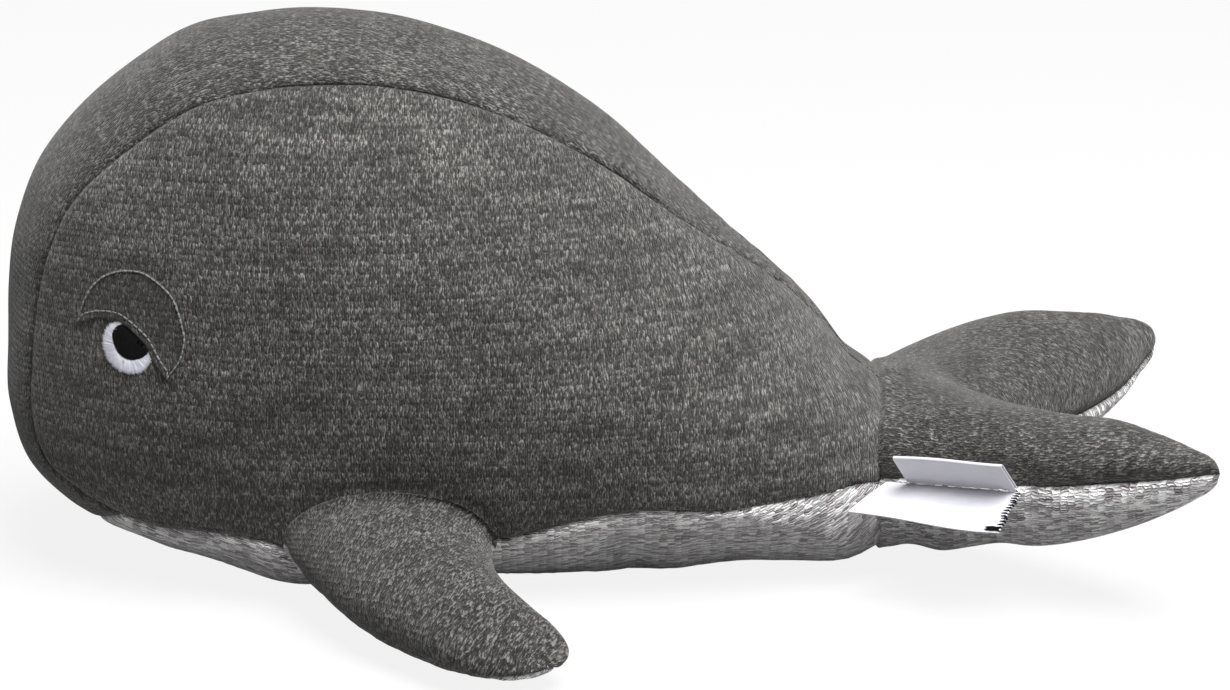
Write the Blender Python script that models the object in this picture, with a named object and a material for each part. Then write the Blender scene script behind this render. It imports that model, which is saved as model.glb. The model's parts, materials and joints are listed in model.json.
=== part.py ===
"""A stuffed toy whale sewn from knitted jersey panels, lying on its belly.

The head points along -X, the tail along +X, and its left side faces -Y.
The origin lies under the middle of the whale, on the surface it lies on.
The body is a filled bag of two side panels, a long gusset over the back and a belly panel.
Two flippers and a forked tail are smaller filled bags sewn to it, and each hangs on a hinge at its seam.
"""

import math

import bmesh
import bpy
import numpy as np

# Body: length from the nose to the tail seam, height, and half of the width
BODY_LENGTH = 0.2500
BODY_HEIGHT = 0.1600
BODY_HALF_WIDTH = 0.0620
# The widest point of the side panels, as shares of the length and height
WIDEST_SHARE = (0.42, 0.44)
# How far the belly is cut flat where the whale rests on it
REST_CUT = 0.0005

# Cloth and filling
CLOTH_THICKNESS = 0.0020
SEAM_GAP = 0.0003
FLUKE_FILLING_GAP = 0.0008

# Back gusset and belly panel: half widths at their widest
GUSSET_HALF_WIDTH = 0.0342
BELLY_HALF_WIDTH = 0.0568

# Tail: length from its seam to the fluke tips, and its half widths and heights
TAIL_LENGTH = 0.0890
TAIL_ROOT_HALF_WIDTH = 0.0320
TAIL_HALF_SPAN = 0.0700
TAIL_NOTCH_DEPTH = 0.0300
TAIL_SEAM_HEIGHT = 0.0315
TAIL_TIP_RISE = 0.0145
TAIL_ROOT_RISE = 0.0222
TAIL_ROOT_DEPTH = 0.0305
TAIL_FLOOR_CLEARANCE = 0.0008
TAIL_RIDGE_HALF_WIDTH = 0.0180
TAIL_HINGE_HEIGHT = 0.0460
TAIL_RAISE_DEGREES = 15

# Flippers: root on the body, reach beyond it, thickness and lift
FLIPPER_ROOT_CENTRE = 0.1120
FLIPPER_ROOT_HEIGHT = 0.0240
FLIPPER_ROOT_HALF_CHORD = 0.0300
FLIPPER_ROOT_HALF_THICKNESS = 0.0142
FLIPPER_TIP_SWEEP = 0.0465
FLIPPER_REACH = 0.1155
FLIPPER_TIP_HEIGHT = 0.0085
FLIPPER_FLOOR_CLEARANCE = 0.0006
FLIPPER_HINGE_HEIGHT = 0.0395

# Eyes: place on the side panel, embroidery radii, and heights of the layers over the panel
EYE_CENTRE = 0.0410
EYE_HEIGHT = 0.0762
EYE_RADIUS = 0.0071
PUPIL_RADIUS = 0.0052
PUPIL_RISE = 0.0017
PUPIL_SHIFT = 0.0007
EMBROIDERY_THICKNESS = 0.0006
EYELID_THICKNESS = 0.0010
EYELID_CLEARANCE = 0.0003
THREAD_WIDTH = 0.0006
THREAD_INSET = 0.0007

# Labels: start behind the tail seam, width along the leading edge, length, ribbon and angles
LOWER_LABEL_START = 0.0015
LOWER_LABEL_WIDTH = 0.0430
LOWER_LABEL_LENGTH = 0.0180
LOWER_LABEL_DEGREES = -21
UPPER_LABEL_START = 0.0070
UPPER_LABEL_WIDTH = 0.0340
UPPER_LABEL_LENGTH = 0.0110
UPPER_LABEL_DEGREES = 52
LABEL_THICKNESS = 0.0005
LABEL_SEAM_CLEARANCE = 0.0010
LABEL_PAIR_GAP = 0.0006

# One overrun serves every cutting block
CUT_OVERRUN = 0.0200

# Counts of facets
RIM_STEPS = 48
SIDE_RINGS = 6
MIDDLE_STRIPS = 4
FLIPPER_ROWS = 9
FLIPPER_COLUMNS = 8
FLUKE_ROWS = 9
FLUKE_COLUMNS = 8
EYE_FACETS = 24
EYELID_STEPS = 12
EYELID_STRIPS = 3
CURVE_STEPS = 24

TOTAL_LENGTH = BODY_LENGTH + TAIL_LENGTH
NOSE_X = -TOTAL_LENGTH / 2
JOINT_X = NOSE_X + BODY_LENGTH
WIDEST_X = NOSE_X + WIDEST_SHARE[0] * BODY_LENGTH
WIDEST_Z = WIDEST_SHARE[1] * BODY_HEIGHT

# The profile in the middle of the back and belly, as shares of body length and height.
# It starts at the tail, runs over the head to the belly and ends past the tail seam.
PROFILE_SHARES = [
    (1.060, 0.180),
    (1.035, 0.290),
    (0.968, 0.376),
    (0.910, 0.476),
    (0.800, 0.636),
    (0.680, 0.808),
    (0.568, 0.914),
    (0.460, 0.971),
    (0.360, 0.990),
    (0.280, 0.982),
    (0.200, 0.948),
    (0.110, 0.848),
    (0.049, 0.738),
    (0.013, 0.615),
    (0.000, 0.500),
    (-0.002, 0.390),
    (0.000, 0.290),
    (0.021, 0.185),
    (0.090, 0.093),
    (0.200, 0.043),
    (0.330, 0.010),
    (0.500, 0.000),
    (0.700, 0.000),
    (0.880, 0.010),
    (1.000, 0.024),
    (1.050, 0.065),
]

# How square the section is, by direction from the widest point in degrees: 2 is an ellipse
SQUARENESS = [
    (-25, 2.4),
    (0, 2.2),
    (90, 2.15),
    (180, 2.2),
    (225, 3.0),
    (262, 4.2),
    (300, 3.4),
    (335, 2.4),
]

# Half width of the gusset by direction in degrees, as a share of its widest half width
GUSSET_WIDTH_SHARES = [
    (-9, 0.14),
    (0, 0.18),
    (6, 0.27),
    (13, 0.39),
    (22, 0.52),
    (34, 0.65),
    (46, 0.76),
    (61, 0.84),
    (80, 0.91),
    (98, 0.97),
    (115, 1.00),
    (136, 0.96),
    (155, 0.90),
    (178, 0.88),
    (198, 0.96),
    (214, 1.23),
]
# Half width of the belly panel in the same way
BELLY_WIDTH_SHARES = [
    (214, 0.741),
    (219, 0.80),
    (224, 0.89),
    (230, 0.945),
    (240, 0.985),
    (255, 1.00),
    (275, 1.00),
    (305, 0.98),
    (320, 0.98),
    (330, 0.965),
    (335, 0.945),
    (339, 0.88),
    (342, 0.77),
    (344, 0.64),
]
CHIN_DEGREES = 214
GUSSET_START_DEGREES = -9
BELLY_END_DEGREES = 344

# The eyelid's edges from its front corner to its rear corner, as shares of the eye's radius
EYELID_LOWER_SHARES = [
    (-2.11, 0.58),
    (-1.32, 0.98),
    (-0.75, 1.20),
    (-0.37, 1.08),
    (0.04, 0.80),
    (0.63, 0.30),
    (0.85, -0.06),
    (1.07, -0.45),
    (1.55, -1.06),
]
EYELID_UPPER_SHARES = [
    (-2.11, 0.58),
    (-1.45, 2.18),
    (-0.98, 2.66),
    (-0.11, 3.00),
    (0.77, 2.96),
    (1.65, 2.41),
    (2.04, 1.83),
    (2.32, 0.83),
    (2.30, 0.32),
    (2.11, -0.28),
    (1.55, -1.06),
]

COLOURS = {
    "heather_dark": (0.105, 0.100, 0.098),
    "heather_side": (0.092, 0.088, 0.086),
    "heather_light": (0.33, 0.31, 0.32),
    "filling": (0.80, 0.79, 0.76),
    "eye_white": (0.70, 0.70, 0.76),
    "pupil": (0.005, 0.005, 0.006),
    "eyelid": (0.055, 0.054, 0.055),
    "thread": (0.23, 0.23, 0.24),
    "label": (0.80, 0.80, 0.82),
}


def clear_scene():
    for obj in list(bpy.data.objects):
        bpy.data.objects.remove(obj, do_unlink=True)


def material(name, roughness=0.95):
    found = bpy.data.materials.get(name)
    if found:
        return found
    made = bpy.data.materials.new(name)
    made.use_nodes = True
    shader = made.node_tree.nodes["Principled BSDF"]
    shader.inputs["Base Color"].default_value = (*COLOURS[name], 1)
    shader.inputs["Roughness"].default_value = roughness
    shader.inputs["Metallic"].default_value = 0
    made.diffuse_color = (*COLOURS[name], 1)
    return made


def solid(name, faces, finish, hinge=None):
    """One closed object from faces given as lists of points. Points that coincide are shared."""
    seats, points, loops = {}, [], []
    for face in faces:
        loop = []
        for point in face:
            key = tuple(round(float(value), 7) for value in point)
            if key not in seats:
                seats[key] = len(points)
                points.append(key)
            if seats[key] not in loop:
                loop.append(seats[key])
        if len(loop) > 2:
            loops.append(loop)
    mesh = bpy.data.meshes.new(name)
    mesh.from_pydata(points, [], loops)
    form = bmesh.new()
    form.from_mesh(mesh)
    bmesh.ops.triangulate(form, faces=form.faces)
    bmesh.ops.recalc_face_normals(form, faces=form.faces)
    if form.calc_volume(signed=True) < 0:
        bmesh.ops.reverse_faces(form, faces=form.faces)
    form.to_mesh(mesh)
    form.free()
    mesh.shade_smooth()
    mesh.set_sharp_from_angle(angle=math.radians(50))
    obj = bpy.data.objects.new(name, mesh)
    bpy.context.collection.objects.link(obj)
    mesh.materials.append(material(finish))
    if hinge:
        obj.parent = hinge
        obj.matrix_parent_inverse = hinge.matrix_world.inverted()
    return obj


def hinge_empty(name, place):
    empty = bpy.data.objects.new(name, None)
    empty.location = place
    bpy.context.collection.objects.link(empty)
    bpy.context.view_layer.update()
    return empty


def block(name, low, high):
    """A cutting block, left out of the model."""
    mesh = bpy.data.meshes.new(name)
    form = bmesh.new()
    bmesh.ops.create_cube(form, size=1)
    for vertex in form.verts:
        for axis in range(3):
            vertex.co[axis] = low[axis] if vertex.co[axis] < 0 else high[axis]
    form.to_mesh(mesh)
    form.free()
    obj = bpy.data.objects.new(name, mesh)
    bpy.context.collection.objects.link(obj)
    obj.hide_render = True
    obj.display_type = "WIRE"
    return obj


def cut(obj, cutter):
    modifier = obj.modifiers.new("cut_by_" + cutter.name, "BOOLEAN")
    modifier.operation = "DIFFERENCE"
    modifier.solver = "EXACT"
    modifier.object = cutter


def smooth_through(points, steps):
    """Catmull-Rom points through a list, steps to each stretch."""
    points = np.asarray(points, float)
    ends = np.vstack([2 * points[0] - points[1], points, 2 * points[-1] - points[-2]])
    found = []
    for a, b, c, d in zip(ends[:-3], ends[1:-2], ends[2:-1], ends[3:]):
        for t in np.linspace(0, 1, steps, endpoint=False):
            found.append(b + 0.5 * t * (c - a + t * (2 * a - 5 * b + 4 * c - d + t * (3 * (b - c) + d - a))))
    found.append(points[-1])
    return np.array(found)


def table(rows, value):
    """A value read from a table of (place, value) rows, eased between them."""
    places, values = np.array(rows, float).T
    index = int(np.clip(np.searchsorted(places, value) - 1, 0, len(places) - 2))
    share = np.clip((value - places[index]) / (places[index + 1] - places[index]), 0, 1)
    slopes = np.gradient(values, places)
    width = places[index + 1] - places[index]
    a, b = values[index], values[index + 1]
    m, n = slopes[index] * width, slopes[index + 1] * width
    return (
        a * (1 + 2 * share) * (1 - share) ** 2
        + b * share**2 * (3 - 2 * share)
        + m * share * (1 - share) ** 2
        - n * share**2 * (1 - share)
    )


# The body surface: directions around the widest point, and the way out from rim to side


def profile_points():
    shares = smooth_through(PROFILE_SHARES, CURVE_STEPS)
    drop = REST_CUT * (1 - np.clip(shares[:, 1] / WIDEST_SHARE[1], 0, 1))
    return np.column_stack([NOSE_X + shares[:, 0] * BODY_LENGTH, shares[:, 1] * BODY_HEIGHT - drop])


PROFILE = profile_points()
PROFILE_DEGREES = np.degrees(np.unwrap(np.arctan2(PROFILE[:, 1] - WIDEST_Z, PROFILE[:, 0] - WIDEST_X)))
PROFILE_RADII = np.hypot(PROFILE[:, 0] - WIDEST_X, PROFILE[:, 1] - WIDEST_Z)


def rim_radius(degrees):
    around = (degrees - PROFILE_DEGREES[0]) % 360 + PROFILE_DEGREES[0]
    return float(np.interp(around, PROFILE_DEGREES, PROFILE_RADII, period=360))


def squareness(degrees):
    around = (degrees + 25) % 360 - 25
    return table(SQUARENESS, around)


def seam_half_width(degrees):
    """Half the distance between the two side panels, across the gusset or the belly panel."""
    around = (degrees + 12) % 360 - 12
    if around <= CHIN_DEGREES:
        return GUSSET_HALF_WIDTH * table(GUSSET_WIDTH_SHARES, around)
    if around <= BELLY_END_DEGREES:
        return BELLY_HALF_WIDTH * table(BELLY_WIDTH_SHARES, around)
    share = (around - BELLY_END_DEGREES) / (360 + GUSSET_START_DEGREES - BELLY_END_DEGREES)
    first = seam_half_width(BELLY_END_DEGREES)
    return first + (seam_half_width(GUSSET_START_DEGREES) - first) * min(share, 1)


def seam_turn(degrees):
    """The turn from rim to seam, in radians: 0 on the middle line, a quarter circle at the widest point."""
    power = squareness(degrees)
    return math.asin((seam_half_width(degrees) / BODY_HALF_WIDTH) ** (power / 2))


def body_point(degrees, turn, inset, side):
    """A point of the body surface, inset below the cloth. side is -1 for the left and 1 for the right."""
    power = squareness(degrees)
    out = max(math.cos(turn), 0) ** (2 / power)
    across = math.sin(turn) ** (2 / power)
    radius = (rim_radius(degrees) - inset) * out
    angle = math.radians(degrees)
    return (
        WIDEST_X + radius * math.cos(angle),
        side * (BODY_HALF_WIDTH - inset) * across,
        WIDEST_Z + radius * math.sin(angle),
    )


def body_half_width(x, z, inset=0):
    """Half width of the body at a place in side view."""
    degrees = math.degrees(math.atan2(z - WIDEST_Z, x - WIDEST_X))
    share = math.hypot(x - WIDEST_X, z - WIDEST_Z) / (rim_radius(degrees) - inset)
    power = squareness(degrees)
    return (BODY_HALF_WIDTH - inset) * max(1 - min(share, 1) ** power, 0) ** (1 / power)


def turn_for_gap(degrees, turn):
    """The turn that half a seam gap takes up at this place."""
    step = 0.01
    here = np.array(body_point(degrees, turn, 0, 1))
    there = np.array(body_point(degrees, turn + step, 0, 1))
    return SEAM_GAP / 2 / np.linalg.norm(there - here) * step


def rim_directions():
    """Directions in degrees, evenly spaced along the rim, with the panels' ends among them."""
    angles = np.radians(np.arange(GUSSET_START_DEGREES, GUSSET_START_DEGREES + 360))
    radii = np.array([rim_radius(math.degrees(angle)) for angle in angles])
    ring = np.column_stack([radii * np.cos(angles), radii * np.sin(angles)])
    lengths = np.linalg.norm(np.diff(np.vstack([ring, ring[:1]]), axis=0), axis=1)
    walked = np.concatenate([[0], np.cumsum(lengths)])
    stops = [GUSSET_START_DEGREES, CHIN_DEGREES, BELLY_END_DEGREES, GUSSET_START_DEGREES + 360]
    places = np.concatenate([np.degrees(angles), [GUSSET_START_DEGREES + 360]])
    found = []
    for low, high in zip(stops[:-1], stops[1:]):
        start, end = np.interp([low, high], places, walked)
        count = max(2, round(RIM_STEPS * (end - start) / walked[-1]))
        found.extend(np.interp(np.linspace(start, end, count, endpoint=False), walked, places))
    return found


DIRECTIONS = rim_directions()


def strips(rows, closed_rows=False, closed_columns=False):
    """Triangles between neighbouring points of a grid given as rows, all split the same way."""
    faces = []
    pairs = list(zip(rows, rows[1:] + rows[:1])) if closed_rows else list(zip(rows, rows[1:]))
    for low, high in pairs:
        count = len(low) if closed_columns else len(low) - 1
        for index in range(count):
            after = (index + 1) % len(low)
            faces.append([low[index], low[after], high[after]])
            faces.append([low[index], high[after], high[index]])
    return faces


def walled(outer, inner, half=False):
    """A closed sheet with thickness from an outer and an inner grid. Half a sheet is open at its first row."""
    faces = strips(outer) + strips(inner) + strips([outer[-1], inner[-1]])
    if not half:
        faces += strips([outer[0], inner[0]])
    for end in (0, -1):
        faces += strips([[row[end] for row in outer], [row[end] for row in inner]])
    return faces


def side_panel(name, side):
    grids = []
    for inset in (0, CLOTH_THICKNESS):
        rows = []
        for ring in range(SIDE_RINGS + 1):
            row = []
            for degrees in DIRECTIONS:
                start = seam_turn(degrees)
                start += turn_for_gap(degrees, start)
                turn = start + (math.pi / 2 - start) * ring / SIDE_RINGS
                row.append(body_point(degrees, turn, inset, side))
            rows.append(row)
        grids.append(rows)
    faces = strips(grids[0], closed_columns=True) + strips(grids[1], closed_columns=True)
    faces += strips([grids[0][0], grids[1][0]], closed_columns=True)
    return solid(name, faces, "heather_side")


def middle_panel(name, low, high, finish):
    """The gusset or the belly panel: a strip along the rim between two directions."""
    places = [degrees for degrees in DIRECTIONS if low <= degrees <= high]
    if places[-1] < high:
        places.append(high)
    faces = []
    for side in (-1, 1):
        grids = []
        for inset in (0, CLOTH_THICKNESS):
            rows = []
            for step in range(MIDDLE_STRIPS + 1):
                row = []
                for degrees in places:
                    end = seam_turn(degrees)
                    end -= turn_for_gap(degrees, end)
                    placed = degrees
                    if degrees == CHIN_DEGREES:
                        gap = math.degrees(SEAM_GAP / 2 / rim_radius(degrees))
                        placed += gap if degrees == low else -gap
                    row.append(body_point(placed, end * step / MIDDLE_STRIPS, inset, side))
                rows.append(row)
            grids.append(rows)
        faces += walled(*grids, half=True)
    return solid(name, faces, finish)


def body_filling():
    """The stuffing, with its facets in line with those of the panels around it."""
    inset = CLOTH_THICKNESS + SEAM_GAP
    faces = []
    for side in (-1, 1):
        rows = []
        for ring in range(MIDDLE_STRIPS + SIDE_RINGS + 1):
            row = []
            for degrees in DIRECTIONS:
                seam = seam_turn(degrees)
                turn = seam * min(ring, MIDDLE_STRIPS) / MIDDLE_STRIPS
                turn += (math.pi / 2 - seam) * max(ring - MIDDLE_STRIPS, 0) / SIDE_RINGS
                row.append(body_point(degrees, turn, inset, side))
            rows.append(row)
        faces += strips(rows, closed_columns=True)
    return solid("body_filling", faces, "filling")


def build_body():
    side_panel("side_panel_left", -1)
    side_panel("side_panel_right", 1)
    middle_panel("back_gusset", GUSSET_START_DEGREES, CHIN_DEGREES, "heather_dark")
    middle_panel("belly_panel", CHIN_DEGREES, BELLY_END_DEGREES, "heather_light")
    body_filling()
    far = TOTAL_LENGTH + CUT_OVERRUN
    end = block(
        "tail_seam_cut",
        (JOINT_X - SEAM_GAP / 2, -far, -far),
        (JOINT_X + BODY_LENGTH, far, far),
    )
    rest = block("rest_cut", (-far, -far, -CUT_OVERRUN), (far, far, 0))
    for name in ("side_panel_left", "side_panel_right", "back_gusset", "belly_panel", "body_filling"):
        cut(bpy.data.objects[name], end)
    cut(bpy.data.objects["belly_panel"], rest)


# Eyes: flat places given in side view, laid on the left or right side panel


def on_side_panel(place, side, lift):
    """A point over the side panel. The place is measured from the eye's centre along X and Z."""
    x, z = NOSE_X + EYE_CENTRE + place[0], EYE_HEIGHT + place[1]
    return (x, side * (body_half_width(x, z) + lift), z)


def layer(rows, side, lift, thickness):
    """A closed sheet laid over the side panel, from a grid of places."""
    grids = [
        [[on_side_panel(place, side, height) for place in row] for row in rows]
        for height in (lift, lift + thickness)
    ]
    return walled(*grids)


def eyelid_edges():
    """The eyelid's lower and upper edges from its front corner to its rear corner."""
    found = []
    for shares in (EYELID_LOWER_SHARES, EYELID_UPPER_SHARES):
        curve = smooth_through(shares, CURVE_STEPS) * EYE_RADIUS
        found.append([walk(curve, step / EYELID_STEPS) for step in range(EYELID_STEPS + 1)])
    return found


def inside_line(points, inset):
    """A closed line moved inwards. The points run clockwise in side view."""
    ring = np.array(points)
    along = np.roll(ring, -1, axis=0) - np.roll(ring, 1, axis=0)
    along /= np.linalg.norm(along, axis=1)[:, None]
    return ring + inset * np.column_stack([along[:, 1], -along[:, 0]])


def clipped_disc(centre, radius, line, gap):
    """Places round a circle, drawn in where they would pass a line above it."""
    ring = []
    starts, ends = line[:-1], line[1:]
    for facet in range(EYE_FACETS):
        angle = math.tau * facet / EYE_FACETS
        way = np.array([math.cos(angle), math.sin(angle)])
        reach = radius
        for start, end in zip(starts, ends):
            along = end - start
            spread = way[0] * along[1] - way[1] * along[0]
            if abs(spread) < 1e-9:
                continue
            offset = start - centre
            distance = (offset[0] * along[1] - offset[1] * along[0]) / spread
            share = (offset[0] * way[1] - offset[1] * way[0]) / spread
            if distance > 0 and 0 <= share <= 1:
                reach = min(reach, distance - gap)
        ring.append(centre + way * reach)
    return ring


def disc_layer(name, centre, radius, line, side, lift, finish):
    """A round layer of embroidery, stopped short of the eyelid's lower edge."""
    ring = clipped_disc(centre, radius, line, EYELID_CLEARANCE)
    top = lift + EMBROIDERY_THICKNESS
    outer = [on_side_panel(place, side, top) for place in ring]
    inner = [on_side_panel(place, side, lift) for place in ring]
    faces = strips([inner, outer], closed_columns=True)
    for points, height in ((outer, top), (inner, lift)):
        middle = on_side_panel(centre, side, height)
        faces += [[a, b, middle] for a, b in zip(points, points[1:] + points[:1])]
    solid(name, faces, finish)


def build_eye(name, side):
    lower, upper = eyelid_edges()
    rows = []
    for strip in range(EYELID_STRIPS + 1):
        share = strip / EYELID_STRIPS
        rows.append([a + (b - a) * share for a, b in zip(lower, upper)])
    solid(f"eyelid_{name}", layer(rows, side, SEAM_GAP, EYELID_THICKNESS), "eyelid")
    outline = inside_line(upper + lower[-2:0:-1], THREAD_INSET)
    inner = inside_line(outline, THREAD_WIDTH)
    low = SEAM_GAP + EYELID_THICKNESS + SEAM_GAP
    high = low + THREAD_WIDTH
    sections = []
    for places, lift in ((outline, low), (outline, high), (inner, high), (inner, low)):
        sections.append([on_side_panel(place, side, lift) for place in places])
    solid(f"eyelid_thread_{name}", strips(sections, closed_rows=True, closed_columns=True), "thread")
    middle = np.zeros(2)
    disc_layer(f"eye_white_{name}", middle, EYE_RADIUS, lower, side, SEAM_GAP, "eye_white")
    middle = np.array([PUPIL_SHIFT, PUPIL_RISE])
    lift = SEAM_GAP + EMBROIDERY_THICKNESS + SEAM_GAP
    disc_layer(f"pupil_{name}", middle, PUPIL_RADIUS, lower, side, lift, "pupil")


# Flippers: rows run from the root to the tip, and columns from the leading to the trailing edge.
# Each row gives its place from root to tip, and shares of the sweep, reach, chord and thickness.
FLIPPER_SHARES = [
    (0.00, 0.00, 0.00, 1.00, 1.00),
    (0.25, 0.05, 0.26, 0.90, 0.98),
    (0.50, 0.22, 0.52, 0.78, 0.88),
    (0.75, 0.55, 0.78, 0.68, 0.76),
    (1.00, 1.00, 1.00, 0.62, 0.68),
]
# Where the rounding of the tip starts, how far the tip slants, and the rings of the seat
FLIPPER_STRAIGHT_SHARE = 0.6
FLIPPER_SLANT_SHARE = 0.35
SEAT_RING_SHARES = (0.6, 0.25)


def flipper_station(place, inset):
    """Centre, half chord and half thickness of the flipper at a place from 0, the root, to 1, the tip."""
    rows = np.array(FLIPPER_SHARES)
    sweep, reach, chord, thickness = (
        table(list(zip(rows[:, 0], rows[:, column])), place) for column in range(1, 5)
    )
    root_y = body_half_width(NOSE_X + FLIPPER_ROOT_CENTRE, FLIPPER_ROOT_HEIGHT)
    curved = max(place - FLIPPER_STRAIGHT_SHARE, 0) / (1 - FLIPPER_STRAIGHT_SHARE)
    rounding = math.sqrt(max(1 - curved**2, 0))
    x = NOSE_X + FLIPPER_ROOT_CENTRE + FLIPPER_TIP_SWEEP * sweep
    y = root_y + (FLIPPER_REACH - root_y) * reach
    z = FLIPPER_ROOT_HEIGHT + (FLIPPER_TIP_HEIGHT - FLIPPER_ROOT_HEIGHT) * reach
    half_chord = max(FLIPPER_ROOT_HALF_CHORD * chord * rounding - inset, 0)
    half_thickness = max(FLIPPER_ROOT_HALF_THICKNESS * thickness * rounding - inset, 0)
    return x, y, z, half_chord, half_thickness


def flipper_grid(side, inset, up):
    """The upper or lower skin of a flipper as a grid. up is 1 or -1."""
    rows = []
    for row_index in range(FLIPPER_ROWS + 1):
        place = math.sin(math.pi / 2 * row_index / FLIPPER_ROWS)
        x, y, z, half_chord, half_thickness = flipper_station(place, inset)
        row = []
        for column in range(FLIPPER_COLUMNS + 1):
            turn = math.pi * column / FLIPPER_COLUMNS
            across = -math.cos(turn)
            px = x + half_chord * across
            slant = FLIPPER_SLANT_SHARE * across * place * half_chord / FLIPPER_ROOT_HALF_CHORD
            py = y - FLIPPER_TIP_SWEEP * slant
            pz = z + up * (half_thickness * math.sin(turn) + SEAM_GAP / 2)
            seat = body_half_width(px, pz) + SEAM_GAP
            py += (seat - y) * (1 - place) ** 2
            row.append((px, side * py, max(pz, FLIPPER_FLOOR_CLEARANCE + inset)))
        rows.append(row)
    return rows


def build_flipper(name, side):
    hinge_y = body_half_width(NOSE_X + FLIPPER_ROOT_CENTRE, FLIPPER_HINGE_HEIGHT) + SEAM_GAP
    hinge = hinge_empty(
        f"flipper_hinge_{name}", (NOSE_X + FLIPPER_ROOT_CENTRE, side * hinge_y, FLIPPER_HINGE_HEIGHT)
    )
    for up, piece, finish in ((1, "top", "heather_dark"), (-1, "underside", "heather_light")):
        faces = walled(flipper_grid(side, 0, up), flipper_grid(side, CLOTH_THICKNESS, up))
        solid(f"flipper_{piece}_{name}", faces, finish, hinge)
    inset = CLOTH_THICKNESS + SEAM_GAP
    upper, lower = flipper_grid(side, inset, 1), flipper_grid(side, inset, -1)
    faces = strips(upper) + strips(lower)
    for end in (0, -1):
        faces += strips([[row[end] for row in upper], [row[end] for row in lower]])
    root = lower[0] + upper[0][::-1]
    middle = np.mean(np.array(root), axis=0)
    seat = [root]
    for share in SEAT_RING_SHARES:
        ring = []
        for point in root:
            x, z = middle[0] + (point[0] - middle[0]) * share, middle[2] + (point[2] - middle[2]) * share
            ring.append((x, side * (body_half_width(x, z) + SEAM_GAP), z))
        seat.append(ring)
    faces += strips(seat, closed_columns=True)
    faces.append(seat[-1])
    solid(f"flipper_filling_{name}", faces, "filling", hinge)


# Tail: half of the flat outline, as shares of its length and half span.
# The leading edge runs from the root to the tip, and the trailing edge from the notch to the tip.
LEADING_EDGE_SHARES = [
    (0.000, 0.457),
    (0.120, 0.570),
    (0.300, 0.725),
    (0.520, 0.865),
    (0.780, 0.960),
    (1.000, 1.000),
]
TRAILING_EDGE_SHARES = [
    (0.337, 0.000),
    (0.480, 0.190),
    (0.690, 0.430),
    (0.850, 0.640),
    (0.950, 0.830),
    (1.000, 1.000),
]
# How the seam rises towards the tips: powers of the shares of the length and the half span
RISE_POWERS = (0.66, 1.80)
# How steeply the skins' ridge in the middle would fall without its rounding
RIDGE_SLOPE_SHARE = 0.8
# How blunt the rims of the upper and lower skins are, and how much the upper one swells between root and tip
FLUKE_TOP_POWER = 0.31
FLUKE_UNDERSIDE_POWER = 0.40
FLUKE_SWELL_SHARE = 0.32


def edge_curve(shares):
    points = smooth_through(shares, CURVE_STEPS)
    return points * (TAIL_LENGTH, TAIL_HALF_SPAN)


def walk(curve, share):
    """The point at a share of a curve's length."""
    steps = np.linalg.norm(np.diff(curve, axis=0), axis=1)
    walked = np.concatenate([[0], np.cumsum(steps)])
    return np.array([np.interp(share * walked[-1], walked, curve[:, axis]) for axis in (0, 1)])


def inset_curve(curve, inset, inward):
    """The curve moved sideways by the inset, to its left or its right."""
    along = np.gradient(curve, axis=0)
    along /= np.linalg.norm(along, axis=1)[:, None]
    return curve + inset * inward * np.column_stack([-along[:, 1], along[:, 0]])


def distance_to(curve, point):
    a, b = curve[:-1], curve[1:]
    along = b - a
    share = np.clip(((point - a) * along).sum(axis=1) / (along**2).sum(axis=1), 0, 1)
    return float(np.linalg.norm(a + along * share[:, None] - point, axis=1).min())


def crossing(first, second):
    """Where two curves last cross: the whole points before it on each, and the place."""
    ways = np.diff(second, axis=0)
    for index in reversed(range(len(first) - 1)):
        way, offsets = first[index + 1] - first[index], second[:-1] - first[index]
        spread = way[0] * ways[:, 1] - way[1] * ways[:, 0]
        on_first = (offsets[:, 0] * ways[:, 1] - offsets[:, 1] * ways[:, 0]) / spread
        on_second = (offsets[:, 0] * way[1] - offsets[:, 1] * way[0]) / spread
        hits = np.nonzero((np.abs(on_first - 0.5) <= 0.5) & (np.abs(on_second - 0.5) <= 0.5))[0]
        if len(hits):
            return index + 1, hits[-1] + 1, first[index] + way * on_first[hits[-1]]
    return len(first) - 1, len(second) - 1, first[-1]


def fluke_outline(inset, middle_gap):
    """The leading and trailing edges moved inwards, trimmed to the root, the tip and the middle."""
    leading = inset_curve(edge_curve(LEADING_EDGE_SHARES), inset, -1)
    trailing = inset_curve(edge_curve(TRAILING_EDGE_SHARES), inset, 1)
    before_tip, behind_tip, tip = crossing(leading, trailing)
    slope = (leading[1] - leading[0])[1] / (leading[1] - leading[0])[0]
    root = np.array([0, leading[0][1] - leading[0][0] * slope])
    slope = (trailing[1] - trailing[0])[0] / (trailing[1] - trailing[0])[1]
    notch = np.array([trailing[0][0] - (trailing[0][1] - middle_gap) * slope, middle_gap])
    leading = leading[:before_tip]
    trailing = trailing[:behind_tip]
    return (
        np.vstack([root, leading[leading[:, 0] > SEAM_GAP], tip]),
        np.vstack([notch, trailing[trailing[:, 1] > middle_gap + SEAM_GAP], tip]),
    )


def seam_height(place):
    """Height of the tail's seam at a place in plan."""
    shares = np.clip(place / (TAIL_LENGTH, TAIL_HALF_SPAN), 0, None)
    return TAIL_SEAM_HEIGHT + TAIL_TIP_RISE * shares[0] ** RISE_POWERS[0] * shares[1] ** RISE_POWERS[1]


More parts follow.
